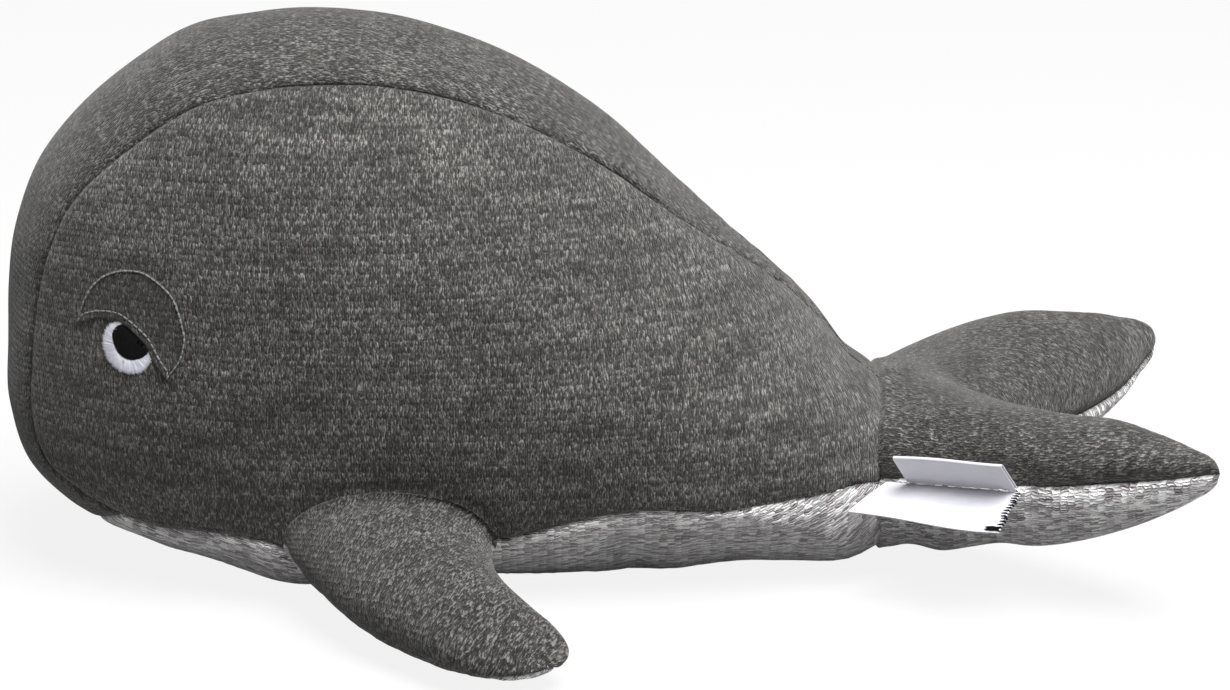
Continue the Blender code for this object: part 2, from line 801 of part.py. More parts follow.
def fluke_grid(side, inset, up, middle_gap=0):
    """Half of the tail's upper or lower skin.

    Rows run from the root to the trailing edge, and columns from the leading edge to the middle.
    """
    leading, trailing = fluke_outline(inset, middle_gap)
    tip, notch = leading[-1], trailing[0]
    rows = []
    for row_index in range(FLUKE_ROWS + 1):
        u = row_index / FLUKE_ROWS
        row = []
        for column in range(FLUKE_COLUMNS + 1):
            v = (1 - math.cos(math.pi * column / FLUKE_COLUMNS)) / 2
            front, back = walk(leading, u), np.array([notch[0] * u, middle_gap])
            root = np.array([0, leading[0][1] + (middle_gap - leading[0][1]) * v])
            rear = walk(trailing, 1 - v)
            corners = (1 - u) * ((1 - v) * leading[0] + v * np.array([0, middle_gap]))
            corners = corners + u * ((1 - v) * tip + v * notch)
            flat = (1 - v) * front + v * back + (1 - u) * root + u * rear - corners
            middle = max(TAIL_RIDGE_HALF_WIDTH - flat[1], 0)
            near = distance_to(leading, flat) - RIDGE_SLOPE_SHARE / 2 * middle**2 / TAIL_RIDGE_HALF_WIDTH
            far = distance_to(trailing, flat)
            widest = TAIL_ROOT_HALF_WIDTH - RIDGE_SLOPE_SHARE / 2 * TAIL_RIDGE_HALF_WIDTH
            reach = near * far / (widest * TAIL_NOTCH_DEPTH)
            if up > 0:
                height = (TAIL_ROOT_RISE - inset) * reach**FLUKE_TOP_POWER
                height *= 1 + FLUKE_SWELL_SHARE * math.sin(math.pi * u)
            else:
                height = (TAIL_ROOT_DEPTH - inset) * reach**FLUKE_UNDERSIDE_POWER
            z = seam_height(flat) + up * (height + SEAM_GAP / 2)
            z = max(z, TAIL_FLOOR_CLEARANCE + inset)
            relief = max(z - TAIL_HINGE_HEIGHT, 0) * math.tan(math.radians(TAIL_RAISE_DEGREES))
            x = flat[0] + (relief + SEAM_GAP / 2) * (1 - u) ** 3
            row.append((JOINT_X + x, side * flat[1], z))
        rows.append(row)
    return rows


def tail_skin(name, up, finish, hinge):
    """The tail's upper or lower skin over both flukes. Its halves meet in the middle."""
    faces = []
    for side in (-1, 1):
        outer, inner = fluke_grid(side, 0, up), fluke_grid(side, CLOTH_THICKNESS, up)
        faces += strips(outer) + strips(inner)
        faces += strips([outer[0], inner[0]]) + strips([outer[-1], inner[-1]])
        faces += strips([[row[0] for row in outer], [row[0] for row in inner]])
    solid(name, faces, finish, hinge)


def build_tail():
    hinge = hinge_empty("tail_hinge", (JOINT_X, 0, TAIL_HINGE_HEIGHT))
    tail_skin("tail_top", 1, "heather_dark", hinge)
    tail_skin("tail_underside", -1, "heather_light", hinge)
    inset = CLOTH_THICKNESS + FLUKE_FILLING_GAP
    for side, name in ((-1, "left"), (1, "right")):
        # The stuffing stops a row short of the thin rim
        upper = fluke_grid(side, inset, 1, SEAM_GAP / 2)[:-1]
        lower = fluke_grid(side, inset, -1, SEAM_GAP / 2)[:-1]
        solid(f"fluke_filling_{name}", walled(upper, lower), "filling", hinge)


# Labels: ribbon sewn into the seam along the left fluke's leading edge


def sewn_line(start, width, rise):
    """The ends of a straight line beside the leading edge, clear of the tail's skins."""
    curve = edge_curve(LEADING_EDGE_SHARES)
    steps = np.linalg.norm(np.diff(curve, axis=0), axis=1)
    walked = np.concatenate([[0], np.cumsum(steps)])
    first = np.interp(start, curve[:, 0], walked)
    ends = [walk(curve, place / walked[-1]) for place in (first, first + width)]
    along = (ends[1] - ends[0]) / np.linalg.norm(ends[1] - ends[0])
    outward = np.array([-along[1], along[0]])
    bulge = ((curve - ends[0]) @ outward)[(walked >= first) & (walked <= first + width)].max()
    points = []
    for end in ends:
        flat = end + outward * (bulge + LABEL_SEAM_CLEARANCE)
        points.append(np.array([JOINT_X + flat[0], -flat[1], seam_height(end) + rise]))
    return points


def build_label(name, start, width, length, degrees, rise, folded):
    """A ribbon on its own hinge at its sewn edge. A folded one is a loop of two layers."""
    first, last = sewn_line(start, width, rise)
    along = (last - first) / np.linalg.norm(last - first)
    level = np.cross((0, 0, 1), along)
    level /= np.linalg.norm(level)
    if level[1] > 0:
        level = -level
    steep = np.cross(along, level)
    steep *= math.copysign(1, steep[2])
    slope = math.radians(degrees)
    out = level * math.cos(slope) + steep * math.sin(slope)
    across = np.cross(along, out)
    inner = SEAM_GAP / 2 if folded else 0
    outer = inner + LABEL_THICKNESS if folded else LABEL_THICKNESS / 2
    section = [(0, outer), (length, outer), (length, -outer), (0, -outer)]
    if folded:
        fold = length - LABEL_THICKNESS
        section += [(0, -inner), (fold, -inner), (fold, inner), (0, inner)]
    ends = [[corner + out * u + across * v for u, v in section] for corner in (first, last)]
    faces = strips(ends, closed_columns=True)
    for end in ends:
        if folded:
            faces += [[end[a] for a in loop] for loop in ((0, 1, 6, 7), (1, 2, 5, 6), (2, 3, 4, 5))]
        else:
            faces.append(end)
    hinge = hinge_empty(name + "_hinge", first)
    hinge.parent = bpy.data.objects["tail_hinge"]
    hinge.matrix_parent_inverse = hinge.parent.matrix_world.inverted()
    bpy.context.view_layer.update()
    solid(name, faces, "label", hinge)


def build_labels():
    build_label(
        "label_lower",
        LOWER_LABEL_START,
        LOWER_LABEL_WIDTH,
        LOWER_LABEL_LENGTH,
        LOWER_LABEL_DEGREES,
        -LABEL_PAIR_GAP,
        folded=False,
    )
    build_label(
        "label_upper",
        UPPER_LABEL_START,
        UPPER_LABEL_WIDTH,
        UPPER_LABEL_LENGTH,
        UPPER_LABEL_DEGREES,
        LABEL_PAIR_GAP,
        folded=True,
    )


def main():
    clear_scene()
    build_body()
    for name, side in (("left", -1), ("right", 1)):
        build_eye(name, side)
        build_flipper(name, side)
    build_tail()
    build_labels()


main()
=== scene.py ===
# %% [markdown]
# # A stuffed knitted whale
#
# The real whale is a bag of heathered grey jersey, filled with soft fibre. Two side panels, a long
# gusset over the back and a pale belly panel make the body. The flippers and the forked tail are
# smaller bags, sewn on afterwards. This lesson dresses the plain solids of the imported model: each
# solid says where a piece is and what it moves with, and the cloth made here takes its place.

# %% Load the frame
import json
import math

import bpy
import numpy as np
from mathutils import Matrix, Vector
from mathutils.bvhtree import BVHTree
from mathutils.kdtree import KDTree

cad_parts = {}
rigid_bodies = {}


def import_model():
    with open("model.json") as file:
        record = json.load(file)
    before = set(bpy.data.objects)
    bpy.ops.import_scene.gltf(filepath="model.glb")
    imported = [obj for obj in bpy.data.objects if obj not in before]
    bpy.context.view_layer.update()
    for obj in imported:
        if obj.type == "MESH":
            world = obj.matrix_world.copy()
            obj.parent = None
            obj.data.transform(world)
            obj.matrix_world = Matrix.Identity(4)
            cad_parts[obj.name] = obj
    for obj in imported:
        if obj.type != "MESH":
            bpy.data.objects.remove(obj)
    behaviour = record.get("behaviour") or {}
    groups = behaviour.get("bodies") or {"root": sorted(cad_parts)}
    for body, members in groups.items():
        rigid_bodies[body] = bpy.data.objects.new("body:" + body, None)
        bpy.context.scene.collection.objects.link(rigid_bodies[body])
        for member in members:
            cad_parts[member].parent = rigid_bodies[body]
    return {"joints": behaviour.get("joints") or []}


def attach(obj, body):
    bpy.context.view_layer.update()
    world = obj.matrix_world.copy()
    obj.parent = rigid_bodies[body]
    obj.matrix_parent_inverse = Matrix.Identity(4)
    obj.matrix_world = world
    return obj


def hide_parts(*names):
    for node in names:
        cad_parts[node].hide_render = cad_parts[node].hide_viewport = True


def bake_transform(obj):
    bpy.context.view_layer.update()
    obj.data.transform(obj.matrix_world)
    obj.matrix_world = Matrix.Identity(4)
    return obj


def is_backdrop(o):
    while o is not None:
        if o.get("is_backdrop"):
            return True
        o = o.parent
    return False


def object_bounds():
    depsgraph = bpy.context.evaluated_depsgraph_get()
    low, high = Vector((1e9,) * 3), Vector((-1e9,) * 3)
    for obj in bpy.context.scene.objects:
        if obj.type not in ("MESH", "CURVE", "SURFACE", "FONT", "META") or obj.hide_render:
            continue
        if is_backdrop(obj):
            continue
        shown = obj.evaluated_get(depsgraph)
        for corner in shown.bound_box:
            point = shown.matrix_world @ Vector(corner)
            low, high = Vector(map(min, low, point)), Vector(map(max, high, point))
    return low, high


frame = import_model()
cad_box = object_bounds()
joints = {joint["name"]: joint for joint in frame["joints"]}

# %% Objects and meshes
def show(name, data):
    """Puts a new object into the scene."""
    obj = bpy.data.objects.new(name, data)
    bpy.context.scene.collection.objects.link(obj)
    return obj


def vertex_values(mesh, key):
    """The places ("co") or the normals ("normal") of a mesh's vertices."""
    found = np.empty(len(mesh.vertices) * 3)
    mesh.vertices.foreach_get(key, found)
    return found.reshape(-1, 3)


def loop_vertices(mesh):
    """The vertex number at each corner of each face."""
    found = np.empty(len(mesh.loops), int)
    mesh.loops.foreach_get("vertex_index", found)
    return found


def smooth_object(name, corners, faces, finish, places=None):
    """An object with one smooth finish. places puts its vertices on the flat pattern, in metres."""
    mesh = bpy.data.meshes.new(name)
    mesh.from_pydata(np.asarray(corners).tolist(), [], faces)
    if places is not None:
        layer = mesh.uv_layers.new(name="flat_pattern").data
        layer.foreach_set("uv", places[loop_vertices(mesh)].ravel())
    mesh.shade_smooth()
    mesh.materials.append(finish)
    return show(name, mesh)


# %% [markdown]
# ## Camera
#
# The photograph was taken from the whale's left side, a little above it, with a long lens. The
# camera comes first, so that every later step can be judged from the same place.

# %% Camera
AIM = Vector((0.0046, 0, 0.0603))
ELEVATION = math.radians(18)
DISTANCE, LENS_MM, SENSOR_MM = 1.1, 112.2, 36
camera = show("camera", bpy.data.cameras.new("camera"))
back = Vector((0, -math.cos(ELEVATION), math.sin(ELEVATION)))
camera.location = AIM + back * DISTANCE
camera.rotation_mode = "QUATERNION"
camera.rotation_quaternion = (-back).to_track_quat("-Z", "Y")
camera.data.lens, camera.data.sensor_width = LENS_MM, SENSOR_MM
bpy.context.scene.camera = camera
print("camera at", [round(value, 3) for value in camera.location])

# %% [markdown]
# ## The shape of the body
#
# A sewn bag has no flat sides. Seen from the side, its outline is the curve over the back and under
# the belly. From every point of that outline the cloth swells out to the widest point of the side.
# So a place on the body is given by two angles: the direction around the widest point, and the turn
# from the outline, 0, to the widest point, a quarter circle. How square the section is changes with
# the direction: the belly is flatter than the back.

# %% Curves through a few points
def smooth_through(points, steps=24):
    """Catmull-Rom points through a list."""
    points = np.asarray(points, float)
    ends = np.vstack([2 * points[0] - points[1], points, 2 * points[-1] - points[-2]])
    found = []
    for a, b, c, d in zip(ends[:-3], ends[1:-2], ends[2:-1], ends[3:]):
        for t in np.linspace(0, 1, steps, endpoint=False):
            found.append(b + 0.5 * t * (c - a + t * (2 * a - 5 * b + 4 * c - d + t * (3 * (b - c) + d - a))))
    found.append(points[-1])
    return np.array(found)


def eased(rows, at):
    """Values read from a table of (place, value) rows, eased between them."""
    places, values = np.array(rows, float).T
    at = np.asarray(at, float)
    index = np.clip(np.searchsorted(places, at) - 1, 0, len(places) - 2)
    width = places[index + 1] - places[index]
    share = np.clip((at - places[index]) / width, 0, 1)
    slopes = np.gradient(values, places)
    m, n = slopes[index] * width, slopes[index + 1] * width
    low, high = values[index], values[index + 1]
    found = low * (1 + 2 * share) * (1 - share) ** 2 + high * share**2 * (3 - 2 * share)
    return found + m * share * (1 - share) ** 2 - n * share**2 * (1 - share)


# %% Distances and humps
def walked(points, axis=0):
    """How far each place lies along its line, or along its column or row of a grid."""
    steps = np.linalg.norm(np.diff(points, axis=axis), axis=-1)
    return np.concatenate([0 * np.take(steps, [0], axis=axis), np.cumsum(steps, axis=axis)], axis=axis)


def hump(at, centre, width):
    """1 at the centre, fading to both sides."""
    return np.exp(-(((at - centre) / width) ** 2))


def tree_of(points):
    tree = KDTree(len(points))
    for index, point in enumerate(points):
        tree.insert(point, index)
    tree.balance()
    return tree


def nearest(tree, points):
    """The distance to the nearest point of a tree, and its number."""
    found = [tree.find(point)[1:] for point in np.reshape(points, (-1, 3))]
    numbers, distances = np.array(found).T
    return distances.reshape(points.shape[:-1]), numbers.astype(int).reshape(points.shape[:-1])


# %% The outline, in metres
NOSE_X, BODY_LENGTH, BODY_HEIGHT, BODY_HALF_WIDTH = -0.1695, 0.250, 0.160, 0.062
TAIL_SEAM_X = NOSE_X + BODY_LENGTH
WIDEST_X, WIDEST_Z = NOSE_X + 0.42 * BODY_LENGTH, 0.44 * BODY_HEIGHT
OUTLINE = [
    (1.060, 0.180), (1.035, 0.272), (0.966, 0.361), (0.910, 0.473), (0.800, 0.629), (0.680, 0.808),
    (0.568, 0.914), (0.460, 0.971), (0.360, 0.990), (0.280, 0.982), (0.200, 0.948), (0.110, 0.848),
    (0.049, 0.738), (0.016, 0.615), (0.005, 0.500), (0.001, 0.390), (0.001, 0.290), (0.022, 0.187),
    (0.093, 0.096), (0.200, 0.037), (0.330, 0.002), (0.500, 0.000), (0.700, 0.000), (0.880, 0.013),
    (1.000, 0.012), (1.050, 0.030),
]
outline = smooth_through(OUTLINE) * (BODY_LENGTH, BODY_HEIGHT) + (NOSE_X, 0)
from_widest = outline - (WIDEST_X, WIDEST_Z)
outline_degrees = np.degrees(np.unwrap(np.arctan2(from_widest[:, 1], from_widest[:, 0])))
outline_reach = np.hypot(*from_widest.T)
print("outline", len(outline), "points, from", outline.min(axis=0).round(4), "to", outline.max(axis=0).round(4))

# %% How square the section is, and how wide the gusset and the belly panel are
SQUARENESS = [
    (-25, 2.4), (0, 2.2), (90, 2.15), (180, 2.2), (225, 3.0), (240, 3.7), (254, 4.9), (272, 4.5), (300, 3.5),
    (335, 2.4),
]
END_START, CHIN, BELLY_END = -14.5, 214, 344
GUSSET_HALF_WIDTH, BELLY_HALF_WIDTH = 0.0342, 0.0564
GUSSET_WIDTHS = [
    (-9, 0.05), (0, 0.08), (6, 0.20), (13, 0.37), (22, 0.52), (34, 0.65), (46, 0.76), (61, 0.84),
    (80, 0.91), (98, 0.97), (115, 1.00), (136, 0.96), (155, 0.90), (178, 0.88), (198, 0.96), (214, 1.23),
]
BELLY_WIDTHS = [
    (214, 0.741), (219, 0.79), (224, 0.872), (230, 0.93), (240, 0.99), (255, 1.025), (275, 1.01),
    (305, 0.975), (320, 0.975), (330, 0.96), (335, 0.945), (339, 0.88), (342, 0.77), (344, 0.64),
]


def squareness(degrees):
    first = SQUARENESS[0][0]
    return eased(SQUARENESS, (np.asarray(degrees) - first) % 360 + first)


def outline_radius(degrees):
    return np.interp(degrees, outline_degrees, outline_reach, period=360)


def seam_turn(degrees):
    """The turn at which the side panel ends and the gusset or the belly panel begins."""
    around = (np.asarray(degrees, float) - END_START) % 360 + END_START
    gusset = GUSSET_HALF_WIDTH * eased(GUSSET_WIDTHS, around)
    belly = BELLY_HALF_WIDTH * eased(BELLY_WIDTHS, around)
    last = BELLY_HALF_WIDTH * BELLY_WIDTHS[-1][1]
    first = GUSSET_HALF_WIDTH * GUSSET_WIDTHS[0][1]
    behind = last + (first - last) * np.clip((around - BELLY_END) / (360 + END_START - BELLY_END), 0, 1)
    half = np.where(around <= CHIN, gusset, np.where(around <= BELLY_END, belly, behind))
    return np.arcsin((half / BODY_HALF_WIDTH) ** (squareness(around) / 2))


# %% A point of the body
def body_at(degrees, turn, inset=0.0, side=1):
    """Points of the body's surface, an inset below it. side is -1 for the left and 1 for the right."""
    degrees, turn = np.broadcast_arrays(np.asarray(degrees, float), np.asarray(turn, float))
    power = squareness(degrees)
    out = np.clip(np.cos(turn), 0, 1) ** (2 / power)
    across = np.sign(turn) * np.abs(np.sin(turn)) ** (2 / power)
    reach = (outline_radius(degrees) - inset) * out
    angle = np.radians(degrees)
    sideways = side * (BODY_HALF_WIDTH - inset) * across
    return np.stack([WIDEST_X + reach * np.cos(angle), sideways, WIDEST_Z + reach * np.sin(angle)], axis=-1)


def body_half_width(x, z, inset=0.0):
    """Half the body's width at a place seen from the side."""
    degrees = np.degrees(np.arctan2(z - WIDEST_Z, x - WIDEST_X))
    share = np.hypot(x - WIDEST_X, z - WIDEST_Z) / (outline_radius(degrees) - inset)
    power = squareness(degrees)
    return (BODY_HALF_WIDTH - inset) * np.clip(1 - np.minimum(share, 1) ** power, 0, 1) ** (1 / power)


print("widest", body_at(90, math.pi / 2).round(4), "top", body_at(90, 0).round(4))

# %% [markdown]
# ## Stuffing the bags
#
# Fibre pushed into a sewn bag presses on it from inside. The seams hold still and the cloth between
# them rises, with small folds where it is held. Modelling that by hand looks stiff, so Blender's
# cloth simulation does it: an even mesh of the bag, a little smaller than the finished shape, is
# blown up with its seams held, and no point may move further than the swell allowed. Each finer
# panel later asks how far its own places moved.

# %% Round the body off at the tail seam
def drawn_in(points, edge=TAIL_SEAM_X, softness=0.0014):
    """Points past the tail seam are pressed flat against it, so that the bag ends in a round shoulder."""
    points = np.array(points, float)
    beyond = (points[..., 0] - edge) / softness
    points[..., 0] = edge - softness * np.logaddexp(0, -beyond)
    return points


def even_grid(degrees, low, high, stops, side, inset):
    """Turns from low to high at shares of the cloth's length, and that length, for each direction."""
    turns = low + (high - low) * np.linspace(0, 1, 160)[:, None]
    along = walked(body_at(degrees, turns, inset, side))
    found = [np.interp(np.asarray(stops) * far[-1], far, turn) for far, turn in zip(along.T, turns.T)]
    return np.transpose(found), along[-1]


def tube_faces(rows, count, capped=False):
    """The faces of a tube made of rings. capped closes its first end."""
    faces = [
        [row * count + k, row * count + (k + 1) % count, (row + 1) * count + (k + 1) % count, (row + 1) * count + k]
        for row in range(rows - 1)
        for k in range(count)
    ]
    return faces + [list(range(count))] if capped else faces


def closed_rings(upper, lower):
    """The rings of a bag whose two skins share their side edges, and its faces."""
    rings = np.concatenate([upper, lower[:, ::-1][:, 1:-1]], axis=1)
    return rings, tube_faces(*rings.shape[:2], capped=True)


# %% Blow up a bag
EVEN_SWELL = 0.62  # the share of the swell by which every place rises at first
EVEN_SHARE, BLOWN_SHARE = 0.66, 0.30  # how much of that stays, and how much the simulation adds
FRAMES = 20
NEIGHBOURS, TINY = 7, 4e-6
CLOTH = {
    "quality": 5, "mass": 0.2, "tension_stiffness": 2, "compression_stiffness": 2, "shear_stiffness": 1,
    "bending_stiffness": 0.05, "use_pressure": True, "vertex_group_mass": "sewn",
}


class Bag:
    """A closed bag blown up by cloth simulation. It tells how far places on it moved."""

    def __init__(self, name, points, faces, held, voxel, pressure, swell, held_width):
        self.swell = swell
        mesh = bpy.data.meshes.new(name)
        mesh.from_pydata(points.reshape(-1, 3).tolist(), [], faces)
        rough = show(name + "_rough", mesh)
        even = rough.modifiers.new("even_mesh", "REMESH")
        even.mode = "VOXEL"
        even.voxel_size = voxel
        graph = bpy.context.evaluated_depsgraph_get()
        form = bpy.data.meshes.new_from_object(rough.evaluated_get(graph))
        bpy.data.objects.remove(rough)
        self.obj = show(name, form)
        self.start = vertex_values(form, "co")
        self.moves = vertex_values(form, "normal") * swell * EVEN_SWELL
        self.blow_up(held, pressure, held_width)
        self.tree = tree_of(self.start)

    def blow_up(self, held, pressure, held_width):
        seams = tree_of(held)
        group = self.obj.vertex_groups.new(name="sewn")
        for index, point in enumerate(self.start):
            away = seams.find(point)[2] / held_width
            group.add([index], float(np.clip(1.25 - away, 0, 1)), "REPLACE")
        cloth = self.obj.modifiers.new("filling", "CLOTH")
        for key, value in CLOTH.items():
            setattr(cloth.settings, key, value)
        cloth.settings.uniform_pressure_force = pressure
        cloth.settings.effector_weights.gravity = 0
        scene = bpy.context.scene
        for step in range(1, FRAMES + 1):
            scene.frame_set(step)
        graph = bpy.context.evaluated_depsgraph_get()
        ended = vertex_values(self.obj.evaluated_get(graph).data, "co")
        self.obj.modifiers.remove(cloth)
        scene.frame_set(1)
        moves = ended - self.start
        far = np.linalg.norm(moves, axis=1, keepdims=True)
        full = BLOWN_SHARE * self.swell / max(far.mean(), 1e-6)
        limited = np.tanh(far * full / self.swell) * self.swell / np.maximum(far * full, 1e-9)
        self.moves = EVEN_SHARE * self.moves + moves * full * limited
        print(self.obj.name, len(self.start), "points, blown up by", (1000 * far.mean()).round(2), "mm, brought to",
              (1000 * np.linalg.norm(self.moves, axis=1).mean()).round(2))

    def moved(self, points):
        """How far each place moved: the mean of the nearest simulated points."""
        flat = np.reshape(points, (-1, 3))
        found = np.empty_like(flat)
        for index, point in enumerate(flat):
            near = self.tree.find_n(point, NEIGHBOURS)
            weights = np.array([1 / (away * away + TINY) for _, _, away in near])
            found[index] = weights @ self.moves[[k for _, k, _ in near]] / weights.sum()
        return found.reshape(np.shape(points))

    def fill(self, depth, replaced, finish):
        """The bag's own mesh, drawn in below the cloth, becomes the stuffing."""
        mesh = self.obj.data
        inside = self.start + self.moves - depth * vertex_values(mesh, "normal")
        mesh.vertices.foreach_set("co", inside.ravel())
        mesh.shade_smooth()
        mesh.materials.append(finish)
        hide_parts(*replaced)
        return self.obj


# %% [markdown]
# ## Knitted jersey as a material
#
# Jersey is made of columns of small V shapes. Each arm of a V is one bit of yarn, so three things
# show: the arms stand up with dark gaps between them, which are painted shade in the colour, every
# arm has its own shade of grey because the yarn is spun from mixed fibres, and whole rows run lighter
# or darker where the yarn did. A picture of cloth would repeat and blur. Counting stitches with Math
# nodes stays sharp, and it works in real metres, because every panel carries its flat pattern as a
# UV map in metres.

# %% Small helpers for node trees
class Wires:
    """Adds nodes to a tree and links them in one call."""

    def __init__(self, tree):
        self.tree = tree

    def feed(self, socket, value):
        if isinstance(value, bpy.types.NodeSocket):
            self.tree.links.new(value, socket)
        else:
            socket.default_value = value

    def dress(self, node, **sockets):
        for key, value in sockets.items():
            self.feed(node.inputs[key.replace("_", " ")], value)
        return node

    def node(self, kind, settings=(), **sockets):
        made = self.tree.nodes.new(kind)
        for key, value in dict(settings).items():
            setattr(made, key, value)
        return self.dress(made, **sockets)

    def math(self, operation, *values):
        made = self.tree.nodes.new("ShaderNodeMath")
        made.operation = operation
        for socket, value in zip(made.inputs, values):
            self.feed(socket, value)
        return made.outputs[0]

    def plus(self, a, b):
        return self.math("ADD", a, b)

    def minus(self, a, b):
        return self.math("SUBTRACT", a, b)

    def times(self, a, b):
        return self.math("MULTIPLY", a, b)

    def power(self, a, b):
        return self.math("POWER", a, b)

    def vector(self, x, y):
        return self.node("ShaderNodeCombineXYZ", X=x, Y=y, Z=0.0).outputs[0]

    def parts(self, vector):
        return self.node("ShaderNodeSeparateXYZ", Vector=vector).outputs

    def blend(self, share, a, b, mode="MIX"):
        made = self.tree.nodes.new("ShaderNodeMix")
        made.data_type = "RGBA"
        made.blend_type = mode
        for index, value in ((0, share), (6, a), (7, b)):
            self.feed(made.inputs[index], value)
        return made.outputs[2]

    def noise(self, place, scale, detail=2.0, roughness=0.5):
        made = self.node("ShaderNodeTexNoise", Vector=place, Scale=scale, Detail=detail, Roughness=roughness)
        return made.outputs["Fac"]

    def spread(self, value, low, high, to_low=0.0, to_high=1.0):
        made = self.node("ShaderNodeMapRange", {"interpolation_type": "SMOOTHSTEP"})
        for index, item in enumerate((value, low, high, to_low, to_high)):
            self.feed(made.inputs[index], item)
        return made.outputs[0]

    def bump(self, strength, distance, height):
        return self.node("ShaderNodeBump", Strength=strength, Distance=distance, Height=height).outputs[0]

    def flat_pattern(self):
        return self.node("ShaderNodeUVMap", {"uv_map": "flat_pattern"}).outputs[0]

    def object_place(self):
        return self.node("ShaderNodeTexCoord").outputs["Object"]


def new_finish(name):
    """A new material, the wires of its tree, and its shader."""
    made = bpy.data.materials.new(name)
    made.use_nodes = True
    return made, Wires(made.node_tree), made.node_tree.nodes["Principled BSDF"]


def new_group(name, inputs, outputs):
    """An empty shader group. inputs are (name, socket type, default)."""
    group = bpy.data.node_groups.new(name, "ShaderNodeTree")
    for label, kind, value in inputs:
        socket = group.interface.new_socket(name=label, in_out="INPUT", socket_type=kind)
        if value is not None:
            socket.default_value = value
    for label, kind in outputs:
        group.interface.new_socket(name=label, in_out="OUTPUT", socket_type=kind)
    wires = Wires(group)
    return group, wires, wires.node("NodeGroupInput").outputs, wires.node("NodeGroupOutput").inputs


FLOAT, VECTOR, COLOUR = "NodeSocketFloat", "NodeSocketVector", "NodeSocketColor"

# %% Group: stitches
DRIFT_SCALE, CLOUD_SCALE = 420.0, 60.0  # cells of noise to a metre
BAND_SCALES, STRAND_SCALES = (22.0, 240.0), (2300.0, 640.0)  # the same, across the columns and along them
# the second is the most that the painted shade in a gap between stitches darkens the colour
CLOUD_SHARE, DARKEST_GAP_SHADE = 0.10, 0.85
COOL_TINT, WARM_TINT = (0.975, 1.010, 0.985, 1), (1.030, 0.988, 0.992, 1)


def stitch_group():
    """Where each arm of a V is: its height, the hole beside it, a random shade and a random tint."""
    group, wires, given, sent = new_group(
        "jersey stitches",
        [("Flat place", VECTOR, None), ("Column width", FLOAT, 0.002), ("Row height", FLOAT, 0.0016),
         ("Slant", FLOAT, 0.32), ("Wander", FLOAT, 0.45)],
        [("Height", FLOAT), ("Hole", FLOAT), ("Shade", FLOAT), ("Tint", FLOAT)],
    )
    drift = wires.node("ShaderNodeTexNoise", Vector=given["Flat place"], Scale=DRIFT_SCALE, Detail=1.0)
    apart = wires.node("ShaderNodeSeparateColor", Color=drift.outputs["Color"]).outputs
    place = wires.parts(given["Flat place"])
    sway, lift = (wires.times(wires.minus(apart[k], 0.5), given["Wander"]) for k in (0, 1))
    column = wires.plus(wires.math("DIVIDE", place[0], given["Column width"]), sway)
    row = wires.plus(wires.math("DIVIDE", place[1], given["Row height"]), lift)
    arm = wires.math("ABSOLUTE", wires.minus(wires.times(wires.math("FRACT", column), 2.0), 1.0))
    slanted = wires.minus(row, wires.times(arm, given["Slant"]))
    number = wires.vector(wires.math("FLOOR", wires.times(column, 2.0)), wires.math("FLOOR", slanted))
    chance = wires.node("ShaderNodeTexWhiteNoise", {"noise_dimensions": "2D"}, Vector=number)
    sides = wires.math("ABSOLUTE", wires.math("SINE", wires.times(column, math.tau)))
    round_across = wires.math("SINE", wires.times(wires.math("FRACT", slanted), math.pi))
    height = wires.times(wires.power(sides, 0.45), wires.power(round_across, 0.6))
    hole = wires.times(wires.minus(1.0, wires.power(sides, 0.55)), round_across)
    tint = wires.node("ShaderNodeSeparateColor", Color=chance.outputs["Color"]).outputs[1]
    for label, value in (("Height", height), ("Hole", hole), ("Shade", chance.outputs["Value"]), ("Tint", tint)):
        wires.feed(sent[label], value)
    return group


